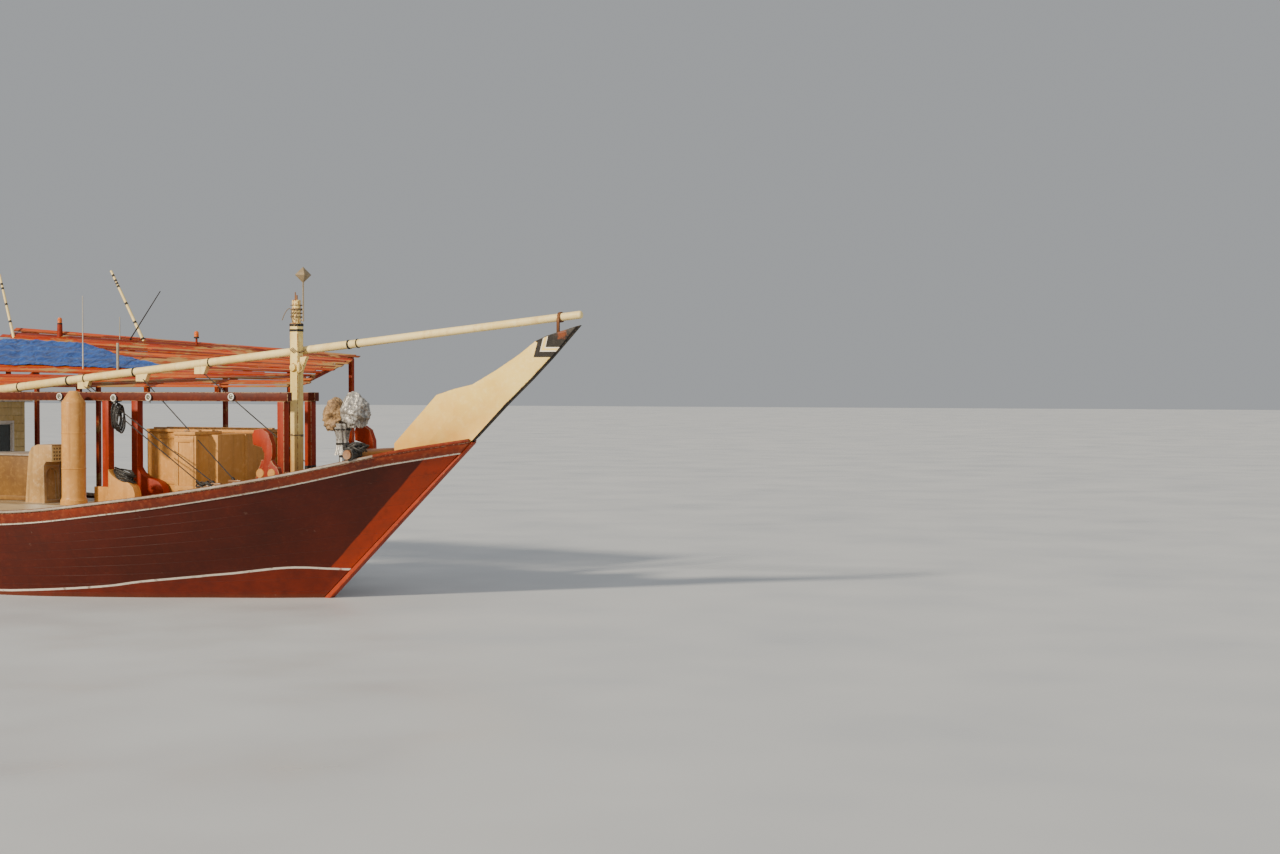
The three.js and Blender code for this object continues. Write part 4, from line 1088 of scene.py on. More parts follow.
@dataclass
class StemHead:
    """The keel, the stem post, the board on it with its dark nose, and the tip with its chevrons."""

    board_half: float = 0.06
    chamfer: float = 0.032
    # The board's leading edge. Columns: forward of the forefoot, height.
    front: tuple[tuple[float, float], ...] = ((3.26, 3.066), (3.92, 3.68), (4.395, 4.09), (4.83, 4.495),
                                              (5.38, 5.05))
    # Plates on the board's faces. Columns: forward of the forefoot, height.
    black_band: tuple[tuple[float, float], ...] = (
        (4.53, 4.783), (4.443, 4.492), (4.803, 4.492), (4.9, 4.589), (4.572, 4.589), (4.64, 4.829))
    white_band: tuple[tuple[float, float], ...] = (
        (4.64, 4.829), (4.572, 4.589), (4.9, 4.589), (4.975, 4.668), (4.69, 4.668), (4.742, 4.865))
    cream_band: tuple[tuple[float, float], ...] = (
        (4.664, 4.833), (4.6, 4.609), (4.912, 4.609), (4.948, 4.648), (4.666, 4.648), (4.72, 4.856))
    black_heel: tuple[tuple[float, float], ...] = (
        (4.742, 4.865), (4.69, 4.668), (4.975, 4.668), (5.1, 4.8), (5.1, 4.93))

    def ahead(self, p: Vector) -> float:
        """How far a point stands ahead of the board's leading edge; behind it the value is negative."""
        rows = self.front
        i = next((k for k in range(len(rows) - 2) if p.z <= rows[k + 1][1]), len(rows) - 2)
        (f0, z0), (f1, z1) = rows[i], rows[i + 1]
        slope = (f1 - f0) / (z1 - z0)
        return (p.x - aft(-(f0 + slope * (p.z - z0)))) / math.hypot(1, slope)

    def board(self, node: str, finish: Finish) -> None:
        """Eases the board or its tip, with the leading edge chamfered and painted black."""
        form = Form(frame["nodes"][node].data)
        bmesh.ops.remove_doubles(form.bm, verts=form.bm.verts, dist=1e-5)
        bmesh.ops.dissolve_limit(form.bm, angle_limit=math.radians(0.6), verts=form.bm.verts,
                                 edges=form.bm.edges)
        nose = [e for e in form.bm.edges
                if all(self.ahead(v.co) > -0.006 for v in e.verts)
                and abs(e.verts[0].co.y - e.verts[1].co.y) < 1e-4]
        bmesh.ops.bevel(form.bm, geom=nose, offset=self.chamfer, offset_type="OFFSET", affect="EDGES",
                        segments=1,
                        profile=0.5, material=-1)
        form.ease(0.008)
        piece = form.piece(f"{node}_finished", finish, replaces=[node])
        piece.data.materials.append(BLACK.material())
        for p in piece.data.polygons:
            p.material_index = int(self.ahead(p.center) > -0.9 * self.chamfer and abs(p.normal.y) < 0.9)

    def bands(self) -> None:
        """Lays the chevrons on both faces: the black L, the white-edged cream L and the tip's black heel."""
        rows = (("black_chevron", self.black_band, 0.004, BLACK),
                ("white_chevron", self.white_band, 0.003, MOULDING),
                ("cream_chevron", self.cream_band, 0.005, BOARD),
                ("tip_heel", self.black_heel, 0.004, TIP_BLACK))
        for name, outline, proud, finish in rows:
            for side, out in (("port", 1), ("starboard", -1)):
                form = Form()
                form.plate([(aft(-f), z) for f, z in outline], out * (self.board_half - 0.002),
                           out * (self.board_half + proud))
                form.piece(f"{name}_{side}", finish)

    def build(self) -> None:
        """Builds the backbone's pieces."""
        eased("keel", FOULED, 0.012)
        eased("stem_post", STEM_POST, 0.01)
        self.board("stem_board", BOARD)
        self.board("stem_tip", TIP_BLACK)
        eased("spar_strap", RUSTY, 0.004)
        self.bands()


@dataclass
class KingPost:
    """The square mast with its black bands, lashed head, rope ring, sheave block and reflector."""

    a: float = 0.8
    half: float = 0.092
    top: float = 5.61
    neck_half: float = 0.085
    band_heights: tuple[float, ...] = (5.035, 5.135)
    band_half: float = 0.024
    # The head's lashings. Columns: height, turns, rope radius.
    lashings: tuple[tuple[float, float, float], ...] = (
        (5.29, 1.6, 0.007), (5.36, 1.4, 0.006), (5.43, 2.2, 0.007), (5.51, 1.4, 0.006))
    ring_height: float = 3.05
    block_height: float = 4.33

    def head(self) -> None:
        """Winds the head's lashings and leads a tail and two loops of rope from them."""
        x = aft(self.a)
        form = Form()
        for z, turns, radius in self.lashings:
            form.wrap((x, 0, z), (0, 0, 1), self.neck_half + 0.002, turns, radius, 1.0)
        form.wrap((x, 0, self.ring_height), (0, 0, 1), self.half, 1.7, 0.011, 1.0)
        tail = [(x - 0.09 - 0.028 * k, -0.08 - 0.012 * k, 5.45 - 0.009 * k * k) for k in range(6)]
        form.rope(tail, 0.008)
        for lift, reach in ((5.33, 0.13), (5.4, 0.1)):
            loop = []
            for k in range(24):
                turn = math.tau * k / 24
                loop.append((x + 0.03 + 0.06 * math.cos(turn), -0.105 - 0.02 * math.sin(2 * turn),
                             lift - reach * (0.6 + math.sin(turn))))
            form.rope(loop, 0.007, joined=True)
        form.piece("mast_lashings", WORN_ROPE)

    def build(self) -> None:
        """Builds the post and what is on it."""
        x = aft(self.a)
        eased("king_post", MAST, 0.012)
        eased("radar_reflector", DULL_TIN, 0.003)
        form = Form()
        h = self.half + 0.004
        for z in self.band_heights:
            form.block((x - h, -h, z - self.band_half), (x + h, h, z + self.band_half))
        form.ease(0.004)
        form.piece("mast_bands", BLACK)
        self.head()
        form = Form()
        form.pole((x - 0.03, 0.01, self.top - 0.02), (x - 0.035, 0.012, self.top + 0.15), 0.018, 0.012, 10)
        form.block((x + 0.02, -0.05, self.top - 0.06), (x + 0.055, -0.03, self.top + 0.09))
        form.piece("mast_pegs", CABIN_WOOD)
        form = Form()
        middle = (x + self.half + 0.02, -0.075, self.block_height)
        form.ball(middle, 0.055, (0.7, 0.8, 2.0), 20)
        form.wrap(middle, (0, 1, 0), 0.08, 1.2, 0.007)
        form.piece("sheave_block", SPAR_CREAM)


def hank(middle: Point, width: float, drop: float, seed: float) -> list[Point]:
    """One hanging loop of a coiled rope, across the boat, a little uneven."""
    x, y, z = middle
    loop = []
    for k in range(28):
        turn = math.tau * k / 28
        sway = 0.012 * math.sin(3 * turn + seed)
        loop.append((x + 0.02 * math.sin(turn + seed), y + (width + sway) * math.cos(turn),
                     z + drop * math.sin(turn) + sway))
    return loop


def coil(middle: Point, along: float, across: float, rise: float, seed: float) -> list[Point]:
    """One loop of a heap of rope, lying flat and a little uneven."""
    x, y, z = middle
    loop = []
    for k in range(32):
        turn = math.tau * k / 32
        spread = 1 + 0.14 * math.sin(3 * turn + seed)
        loop.append((x + along * spread * math.cos(turn), y + across * spread * math.sin(turn),
                     z + rise * math.sin(2 * turn + 1.3 * seed)))
    return loop


@dataclass
class Spar:
    """The long spar, its rope collars, the guys that lead down from it and their lashings."""

    fore: Point = (5.32, 0.131, 5.24)  # forward of the forefoot, to port, height
    back: Point = (-9.15, 0.252, 3.857)
    thin: float = 0.07
    thick: float = 0.088
    saddles: tuple[float, ...] = (6.3, 4.75, 3.25)
    collars: tuple[float, ...] = (8.1, 6.74, 6.28, 4.97, 3.04, -0.3, -0.5, -4.89)
    sides: int = 40
    # The guys that lead to the starboard rail. Columns: their saddle, the foot's place aft and to starboard.
    guys: tuple[tuple[float, float, float], ...] = ((6.3, 1.18, 2.25), (6.18, 0.95, 2.2), (4.75, 0.62, 2.05))
    # The guy that leads to the port post: its saddle, then the foot's place aft, to port and up.
    post_guy: tuple[float, float, float, float] = (3.25, 0.83, 0.5, 2.42)
    guy_radius: float = 0.011
    heap: float = 1.15  # how far aft the guys' slack lies over the rail's inner edge

    def at(self, a: float) -> Vector:
        """The spar's middle line at a place aft of the forefoot."""
        t = (a + self.fore[0]) / (self.fore[0] - self.back[0])
        return Vector((aft(a), lerp(self.fore[1], self.back[1], t), lerp(self.fore[2], self.back[2], t)))

    def radius(self, a: float) -> float:
        """The spar's radius at a place."""
        return lerp(self.thin, self.thick, (a + self.fore[0]) / (self.fore[0] - self.back[0]))

    def timber(self) -> None:
        """Builds the round spar with a slightly rounded fore end, and its saddle blocks."""
        form = Form()
        way = (self.at(-5.4) - self.at(9.0)).normalized()
        across = Vector((0, 1, 0))
        lift = way.cross(across)
        rings = []
        ends = [(9.15, 0.9), (9.14, 1.0), *((a / 4, 1.0) for a in range(34, -22, -2)),
                (-5.28, 1.0), (-5.305, 0.9), (-5.32, 0.6)]
        for k, (a, share) in enumerate(ends):
            r = self.radius(a) * share * (1 + 0.015 * math.sin(k * 1.7))
            middle = self.at(a)
            turns = [math.tau * i / self.sides for i in range(self.sides)]
            rings.append([tuple(middle + r * (math.cos(t) * across + math.sin(t) * lift)) for t in turns])
        form.skin(rings)
        for a in self.saddles:
            back, front = self.at(a + 0.15), self.at(a - 0.15)
            rows = [(back.x, back.z - 0.19), (front.x - 0.07, front.z - 0.22), (front.x, front.z - 0.07),
                    (back.x, back.z - 0.05)]
            y = self.at(a).y
            form.plate(rows, y - 0.055, y + 0.055)
        form.piece("spar_timber", SPAR_CREAM, replaces=["spar"], smooth=50)

    def ropes(self) -> None:
        """Winds the rope collars round the spar and lashes it to the king post."""
        way = self.at(-5.0) - self.at(9.0)
        form = Form()
        for i, a in enumerate(self.collars):
            form.wrap(tuple(self.at(a)), tuple(way), self.radius(a), 2 + i % 2, 0.007)
        form.piece("spar_collars", BLACK_ROPE)
        form = Form()
        place = self.at(0.8)
        for shift in (-0.03, 0.0, 0.03):
            loop = []
            for k in range(48):
                angle = math.tau * k / 48
                loop.append((place.x + 0.115 * math.sin(angle) + shift, 0.085 + 0.195 * math.cos(angle),
                             place.z + 0.045 * math.sin(2 * angle) + shift * 0.5))
            form.rope(loop, 0.01, joined=True)
        form.piece("spar_lashing", WORN_ROPE)

    def stays(self) -> None:
        """Leads the taut guys from the saddles to cleats inside the starboard rail and to the port post."""
        form, cleats = Form(), Form()
        for a, foot_a, out in self.guys:
            top = self.at(a) + Vector((0, -0.03, -0.15))
            s = LINES.station_at(foot_a)
            foot = Vector((aft(foot_a), -min(out, s.half(s.z_rail) - 0.13), s.z_rail + 0.09))
            form.rope([tuple(top.lerp(foot, k / 24)) for k in range(25)], self.guy_radius)
            form.wrap(tuple(foot + (top - foot).normalized() * 0.1), tuple(top - foot), 0.012, 5, 0.009)
            cleats.timber((foot.x - 0.14, foot.y - 0.01, foot.z), (foot.x + 0.14, foot.y - 0.01, foot.z),
                          0.045, 0.05)
            cleats.timber((foot.x, foot.y - 0.02, foot.z - 0.22), (foot.x, foot.y - 0.02, foot.z - 0.01),
                          0.09, 0.06)
        a, foot_a, out, up = self.post_guy
        top, foot = self.at(a) + Vector((0, -0.03, -0.15)), Vector((aft(foot_a), out, up))
        form.rope([tuple(top.lerp(foot, k / 24)) for k in range(25)], self.guy_radius)
        form.wrap((aft(0.8), 0.42, up), (0, 0, 1), 0.08, 4.5, 0.01, 1.0)
        rail = LINES.station_at(self.heap)
        for k in range(6):
            middle = (aft(self.heap) + 0.06 * math.sin(2.3 * k), 0.16 - rail.half(rail.z_rail),
                      rail.z_rail + 0.08 + 0.014 * k)
            form.rope(coil(middle, 0.12, 0.06, 0.03, k), 0.011, joined=True)
        form.piece("spar_guys", BLACK_ROPE)
        cleats.ease(0.008)
        cleats.piece("guy_cleats", CABIN_WOOD)

    def build(self) -> None:
        """Builds the spar, its ropes and its guys."""
        self.timber()
        self.ropes()
        self.stays()


@dataclass
class DeckGear:
    """The column, vent, boxes, posts with their knees, timber heads and bow log."""

    column: tuple[float, float] = (5.643, -0.8)  # aft of the forefoot, to port
    column_radius: float = 0.235
    column_foot: float = 1.6403
    column_shoulder: float = 3.665
    column_top: float = 3.885
    midship_post: tuple[float, float] = (5.1, -0.42)
    # The top of the midship knee. Columns: forward of the post's face, height over its foot.
    knee: tuple[Pair, ...] = ((0.0, 0.7), (0.085, 0.59), (0.18, 0.53), (0.3, 0.492), (0.43, 0.468),
                              (0.54, 0.43),
                              (0.63, 0.36), (0.7, 0.22))
    # The timber heads' broad feet. Columns: forward of the head's after end, height over the rail.
    head_foot: tuple[Pair, ...] = ((0.04, -0.12), (0.07, 0.1), (0.11, 0.22), (0.17, 0.33), (0.2, 0.42),
                                   (0.42, 0.42),
                                   (0.47, 0.34), (0.56, 0.28), (0.6, 0.17), (0.61, -0.12))
    discs: Pair = (0.175, 0.43)  # the discs' middles, forward of the head's after end
    vent_holes: Pair = (-0.53, 2.52)  # the middle column of holes to port, the lowest row's height
    hole_pitch: Pair = (0.076, 0.07)  # from hole to hole, across and up
    # The fish box's outer walls. Columns: both ends as aft and to port, then the number of upright battens.
    box_walls: tuple[tuple[Pair, Pair, int], ...] = (
        ((2.2, -1.27), (2.7, -1.27), 2), ((4.96, 1.27), (2.2, 1.27), 5), ((4.96, 0.56), (4.96, 1.27), 2),
        ((2.7, -1.27), (2.7, 0.56), 4), ((2.7, 0.56), (4.96, 0.56), 4))
    box_top: float = 3.06
    inner_wall: float = 0.56  # how far to port the inner side of the box's long arm stands

    def column_shell(self) -> None:
        """Spins the column with its flanged foot, weld beads and coned head."""
        x, y = aft(self.column[0]), self.column[1]
        r, z, top, shoulder = self.column_radius, self.column_foot, self.column_top, self.column_shoulder
        profile = [(0.0, z), (0.265, z), (0.265, z + 0.02), (0.262, z + 0.085), (0.25, z + 0.1),
                   (r, z + 0.15)]
        for bead in (2.35, 3.05):
            profile += [(r, bead - 0.012), (r + 0.006, bead - 0.005), (r + 0.006, bead + 0.005),
                        (r, bead + 0.012)]
        profile += [(r, shoulder - 0.02), (r - 0.006, shoulder), (0.092, top - 0.014), (0.078, top),
                    (0.0, top)]
        form = Form()
        form.turned(x, y, profile, 56)
        for k in range(10):
            turn = math.tau * k / 10
            cx, cy = x + 0.25 * math.cos(turn), y + 0.25 * math.sin(turn)
            form.pole((cx, cy, z + 0.05), (cx, cy, z + 0.108), 0.01, sides=6)
        form.piece("column_shell", TAN_STEEL, replaces=["exhaust_column"], smooth=35)

    def fish_box(self) -> None:
        """Eases the fish box and its lids, and adds their straps, rings and raised panels."""
        eased("fish_box", TAN, 0.009)
        form = Form()
        for (a0, y0), (a1, y1), count in self.box_walls:
            start, end = Vector((aft(a0), y0, 0)), Vector((aft(a1), y1, 0))
            way = (end - start).normalized()
            out = way.cross(Vector((0, 0, 1)))
            outer = abs(way.x) > 0.5 and y0 != self.inner_wall
            outward = Vector((0, y0, 0)) if outer else Vector((-1, -1, 0))
            if out.dot(outward) <= 0:
                out.negate()
            start, end = start + out * 0.004 + way * 0.02, end + out * 0.004 - way * 0.02
            across = Vector((abs(way.y), abs(way.x), 0))
            for drop in (0.09, 1.0):
                lift = Vector((0, 0, self.box_top - drop))
                form.timber(tuple(start + lift), tuple(end + lift), 0.028, 0.09)
            for k in range(count):
                foot = start.lerp(end, (k + 0.12) / (count - 0.76)) + Vector((0, 0, self.box_top - 1.2))
                size = (0.022, 0.09) if across.y > 0.5 else (0.09, 0.022)
                form.timber(tuple(foot), tuple(foot + Vector((0, 0, 1.18))), *size)
        form.ease(0.005)
        form.piece("fish_box_battens", TAN)
        for side, sign in (("port", 1), ("starboard", -1)):
            node = f"fish_box_lid_{side}"
            eased(node, TAN, 0.007)
            low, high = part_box(node)
            body = body_of(node)
            gear = Form()
            inner, outer = (low.y, high.y) if sign > 0 else (high.y, low.y)
            for t in (0.2, 0.8):
                x = lerp(low.x, high.x, t)
                slab = high.z - 0.028
                gear.timber((x, inner + sign * 0.02, slab + 0.003),
                            (x, lerp(inner, outer, 0.2), slab + 0.003), 0.05, 0.008)
            x, y = (low.x + high.x) / 2, lerp(inner, outer, 0.9)
            ring = [(x + 0.05 * math.cos(k * math.tau / 20), y + 0.05 * math.sin(k * math.tau / 20),
                     high.z - 0.016) for k in range(20)]
            gear.rope(ring, 0.007, joined=True)
            gear.piece(f"lid_ironwork_{side}", STEEL, body)

    def posts(self) -> None:
        """Eases the posts, painting the starboard midship knee tan, and hangs a coil of rope on it."""
        for node in ("mast_guard_post_starboard", "mast_guard_post_port", "midship_post_port"):
            eased(node, BRICK, 0.01)
        post = eased("midship_post_starboard", BRICK, 0.01)
        post.data.materials.append(TAN.material())
        low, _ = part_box("midship_post_starboard")
        face = aft(self.midship_post[0]) + 0.085
        for p in post.data.polygons:
            p.material_index = int(p.center.x > face or p.center.z < low.z + 0.352)
        form = Form()
        y = self.midship_post[1]
        for k in range(9):
            middle = (face + 0.1 + 0.018 * k, y + 0.01 * (k % 3 - 1), 3.41 - 0.01 * k)
            form.rope(hank(middle, 0.1 + 0.004 * k, 0.27, 1.3 * k), 0.013, joined=True)
        form.wrap((face + 0.16, y, 3.5), (0, 0, 1), 0.1, 3.5, 0.012)
        knee_top = fair(self.knee)
        for k in range(10):
            loop = []
            for i in range(30):
                turn = math.tau * i / 30
                reach = 1 + 0.15 * math.sin(3 * turn + k)
                ahead = 0.34 + 0.02 * math.sin(k) + 0.21 * reach * math.cos(turn)
                up = low.z + knee_top(ahead) + 0.012 + 0.019 * k + 0.01 * math.sin(2 * turn + 2 * k)
                loop.append((face + ahead, y + 0.115 * reach * math.sin(turn), up))
            form.rope(loop, 0.014, joined=True)
        form.pole((face - 0.01, y, 3.65), (face + 0.27, y, 3.69), 0.016, 0.013, 10)
        form.piece("midship_rope", BLACK_ROPE)

    def timber_heads(self) -> None:
        """Eases the carved timber heads, broadens their feet and sets two tan discs on each side of them."""
        form, feet = Form(), Form()
        for side in ("starboard", "port"):
            node = f"timber_head_{side}"
            eased(node, BRICK, 0.01)
            low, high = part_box(node)
            s = LINES.station_at(FOREFOOT_X - (low.x + high.x) / 2)
            feet.plate([(low.x + x, s.z_rail + z) for x, z in self.head_foot], low.y + 0.004, high.y - 0.004)
            for dx in self.discs:
                for y, out in ((low.y, -1), (high.y, 1)):
                    centre = (low.x + dx, y, s.z_rail + 0.17)
                    form.pole(centre, (centre[0], y + out * 0.014, centre[2]), 0.088, 0.078, 28)
        feet.ease(0.01)
        feet.piece("timber_head_feet", BRICK)
        form.piece("timber_head_discs", TAN)

    def bow_log(self) -> None:
        """Rounds the log with its sawn ends and winds the black rope near its starboard end."""
        low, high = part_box("bow_log")
        x, z, r = (low.x + high.x) / 2, (low.z + high.z) / 2, (high.z - low.z) / 2
        form = Form()
        rings = []
        for k in range(25):
            t = k / 24
            y = lerp(low.y, high.y, t)
            bulge = r * (0.93 if k in (0, 24) else 1 - 0.025 * math.sin(5 * t * math.pi) ** 2)
            turns = [math.tau * i / 28 for i in range(28)]
            rings.append([(x + bulge * math.cos(a), y, z + bulge * math.sin(a)) for a in turns])
        form.skin(rings)
        form.piece("log_timber", LOG_WOOD, replaces=["bow_log"])
        form = Form()
        for y, turns, thick in ((-1.27, 5.5, 0.017), (-1.16, 3.5, 0.022), (1.3, 3.5, 0.016)):
            form.wrap((x, y, z), (0, 1, 0), r + 0.002, turns, thick)
        for k in range(9):
            middle = (x + 0.06 * math.sin(1.9 * k), -1.12 + 0.05 * math.sin(2.7 * k),
                      z + r + 0.02 * (k % 4) + 0.01)
            form.rope(coil(middle, 0.16, 0.13, 0.04, k), 0.02, joined=True)
        form.piece("bow_rope", BLACK_ROPE)

    def vent_shell(self) -> None:
        """Stands the vent's copy in its place, its trunk widening evenly towards the foot."""
        low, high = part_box("gooseneck_vent")
        middle = Vector((low.x + 0.21, (low.y + high.y) / 2, 0))
        form = Form(frame["nodes"]["gooseneck_vent"].data)
        bmesh.ops.remove_doubles(form.bm, verts=form.bm.verts, dist=1e-5)
        bmesh.ops.dissolve_limit(form.bm, angle_limit=math.radians(0.6), verts=form.bm.verts,
                                 edges=form.bm.edges)
        for v in form.bm.verts:
            share = 0.22 * max(0.0, (2.39 - v.co.z) / (2.39 - low.z))
            v.co.x += (v.co.x - middle.x) * share
            v.co.y += (v.co.y - middle.y) * share * 0.6
        form.ease(0.008)
        form.piece("vent_shell", VENT_PAINT, replaces=["gooseneck_vent"])

    def vent_mouth(self) -> None:
        """Lays a pale lattice over the vent's mouth, open at its holes."""
        _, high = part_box("gooseneck_vent")
        form = Form()
        across, up = self.hole_pitch
        rows = [self.vent_holes[1] + up * k for k in range(4)]
        columns = [self.vent_holes[0] + across * (k - 2) for k in range(5)]
        y0, y1 = columns[0] - 0.053, columns[-1] + 0.053
        for z in (rows[0] - up / 2, *[r + up / 2 for r in rows]):
            form.block((high.x - 0.004, y0, z - 0.0155), (high.x + 0.005, y1, z + 0.0155))
        for y in (columns[0] - across / 2, *[c + across / 2 for c in columns]):
            form.block((high.x - 0.004, y - 0.0145, rows[0] - 0.05),
                       (high.x + 0.0045, y + 0.0145, rows[-1] + 0.05))
        form.piece("vent_mouth_plate", HOUSE_CREAM)

    def box_trim(self) -> None:
        """Lays the worn top board over the deck box and nails a plinth batten round its foot, in the brown
        that paints the box's shade.
        """
        low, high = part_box("deck_box")
        board, plinth = Form(), Form()
        board.block((low.x - 0.025, low.y - 0.025, high.z - 0.045),
                    (high.x + 0.025, high.y + 0.025, high.z + 0.004))
        board.ease(0.006)
        board.piece("deck_box_board", CAP_GREY)
        plinth.block((low.x - 0.014, low.y - 0.014, low.z + 0.01),
                     (high.x + 0.014, high.y + 0.014, low.z + 0.1))
        plinth.ease(0.005)
        plinth.piece("deck_box_plinth", BOX_SHADE_BROWN)

    def build(self) -> None:
        """Builds everything that stands on the deck before the deckhouse."""
        self.vent_mouth()
        self.box_trim()
        self.column_shell()
        self.fish_box()
        self.posts()
        self.timber_heads()
        self.bow_log()
        eased("hold_coaming", DECK_WOOD, 0.012)
        self.vent_shell()
        # The deck box's brown stands for painted shade on its faces.
        eased("deck_box", BOX_SHADE_BROWN, 0.01)
        eased("hauler_post", STEEL, 0.006)
        for side in ("port", "starboard"):
            eased(f"awning_beam_{side}", BEAM_RED, 0.01)


@dataclass
class Awning:
    """A roof of loose-laid slats on bearers and posts.

    across gives the slats' places to port, as shares of reach at any place along the boat.
    """

    name: str
    node: str
    fore: float
    back: float
    bearers: tuple[float, ...]
    posts: tuple[float, ...]
    slats: int
    seed: int
    surface: Callable[[float, float], float]
    reach: Callable[[float], tuple[float, float]]
    both_sides: bool
    carriers: tuple[Pair, ...] = ()  # what the bearers' inboard blocks stand on: from how far aft, height

    def facing(self, a: float, y: float) -> Point:
        """The way the awning's surface looks at a place."""
        return (0.0, (self.surface(a, y - 0.05) - self.surface(a, y + 0.05)) / 0.1, 1.0)

    def slat(self, form: Form, dice: random.Random, share: float) -> None:
        """Lays one slat, bowed a little, with ends as ragged as the rest."""
        first = self.fore + dice.uniform(-0.05, 0.4)
        last = self.back + dice.uniform(-0.3, 0.15)
        chance = dice.random()
        if chance < 0.15:
            last = lerp(first, last, dice.uniform(0.5, 0.8))
        elif chance < 0.3:
            first = lerp(first, last, dice.uniform(0.15, 0.4))
        yaw, tint = dice.uniform(-0.05, 0.05), dice.random()
        width, depth = dice.uniform(0.06, 0.1), dice.uniform(0.018, 0.03)
        points = []
        for k in range(6):
            a = lerp(first, last, k / 5)
            low, high = self.reach(a)
            y = min(max(lerp(low, high, share) + yaw * (k / 5 - 0.5), low), high)
            points.append((aft(a), y, self.surface(a, y) + depth / 2 + dice.uniform(0, 0.012)))
        for p, q in zip(points, points[1:]):
            stretch = Vector(q) - Vector(p)
            up = self.facing(FOREFOOT_X - (p[0] + q[0]) / 2, (p[1] + q[1]) / 2)
            form.timber(p, tuple(Vector(q) + stretch.normalized() * 0.004), width, depth, tint, up)

    def structure(self, form: Form) -> None:
        """Builds the bearers that carry the slats, the posts on the cap rails and the inboard blocks."""
        steps = 8
        for a in self.bearers:
            low, high = self.reach(a)
            rail = LINES.rail_half(a)
            ends = (-rail + 0.03, rail - 0.03) if self.both_sides else (low, min(rail - 0.03, 2.85))
            line = [lerp(ends[0], ends[1], k / steps) for k in range(steps + 1)]
            points = [(aft(a), y, self.surface(a, min(y, high)) - 0.038) for y in line]
            for p, q in zip(points, points[1:]):
                form.timber(p, (q[0], q[1] + 0.006, q[2]), 0.07, 0.075, 0.25)
            for start, height in self.carriers:
                if a > start:
                    foot = height
            if self.carriers:
                form.timber((aft(a), 0.43, foot), (aft(a), 0.43, self.surface(a, 0.43) - 0.03), 0.07, 0.11,
                            0.2)
            if a in self.posts:
                s = LINES.station_at(a)
                for side in (1, -1) if self.both_sides else (1,):
                    y = side * (rail - 0.065)
                    head = self.surface(a, min(y, high)) - 0.05
                    form.timber((aft(a), y, s.z_rail + 0.058), (aft(a), y, head), 0.085, 0.085, 0.3)

    def build(self) -> None:
        """Builds the awning in place of its CAD node."""
        dice = random.Random(self.seed)
        form = Form()
        self.structure(form)
        for i in range(self.slats):
            self.slat(form, dice, (i + dice.uniform(-0.25, 0.25)) / (self.slats - 1))
        form.ease(0.003)
        form.piece(self.name, SLATS, replaces=[self.node])


def fore_surface(a: float, y: float) -> float:
    """The fore awning's height: it climbs outboard, more steeply towards the stern."""
    return 3.945 + (y - 0.35) * (0.3 + 0.035 * (a - 1.0))


def aft_surface(a: float, y: float) -> float:
    """The aft awning's height: crowned across, rising towards the stern."""
    return 4.808 + (a - 10.75) * 0.06 - 0.16 * (y / 2.5) ** 2


def aft_reach(a: float) -> Pair:
    """How far out to each side the aft awning's slats lie."""
    half = min(LINES.rail_half(a) - 0.08, 2.1)
    return -half, half


def awnings() -> tuple[Awning, Awning]:
    """The fore awning over the port half and the aft one over the deckhouse."""
    fore = Awning("fore_awning_slats", "awning_fore", 1.0, 10.4, (1.25, 3.05, 4.85, 6.65, 8.4, 10.15),
                  (1.25, 3.05, 4.85, 8.4, 10.15), 38, 5, fore_surface, lambda a: (0.38, 2.4), False,
                  ((0.0, 3.86), (9.0, 3.72)))
    back = Awning("aft_awning_slats", "awning_aft", 10.75, 16.4, (10.95, 12.6, 14.3, 15.95),
                  (10.95, 12.6, 15.95), 44, 9,
                  aft_surface, aft_reach, True)
    return fore, back


@dataclass
class Tarpaulin:
    """The blue sheet thrown over the fore awning, sagging between the slats and creased."""

    inner_fore: float = 4.5
    outer_fore: float = 8.05
    back: float = 10.35
    y0: float = 1.05
    y1: float = 2.03
    over: float = 0.06
    columns: int = 120
    rows: int = 44
    flat: Pair = (1.2, 6.0)
    flat_area: float = 4.6

    def point(self, u: float, v: float) -> Point:
        """A point of the sheet, from its slanted fore edge aft, and outboard."""
        ragged = 0.05 * noise.noise(Vector((u * 7, 3.1, 0))) + 0.02 * noise.noise(Vector((u * 23, 1.7, 0)))
        y = lerp(self.y0 + 0.03 + ragged, self.y1 - 0.04, v)
        fore = lerp(self.inner_fore, self.outer_fore, v) + 0.1 * noise.noise(Vector((v * 4, 9.2, 0)))
        a = lerp(fore, self.back - 0.04, u)
        fold = noise.fractal(Vector((a * 2.8, v * 5, 0.4)), 0.9, 2.1, 4) * 0.018
        crease = abs(noise.noise(Vector((a * 4 + v * 4, v * 3, 2.2)))) * 0.035
        sag = 0.008 * math.sin(v * 9 * math.pi)
        lift = self.over + fold + crease + sag
        return (aft(a), y, fore_surface(a, y) + max(lift, 0.052))

    def build(self) -> None:
        form = Form()
        rings = [[self.point(i / self.columns, j / self.rows) for j in range(self.rows + 1)]
                 for i in range(self.columns + 1)]
        form.skin(rings, closed=False, capped=False)
        sheet = form.piece("tarpaulin_sheet", TARPAULIN, replaces=["tarpaulin"], smooth=80)


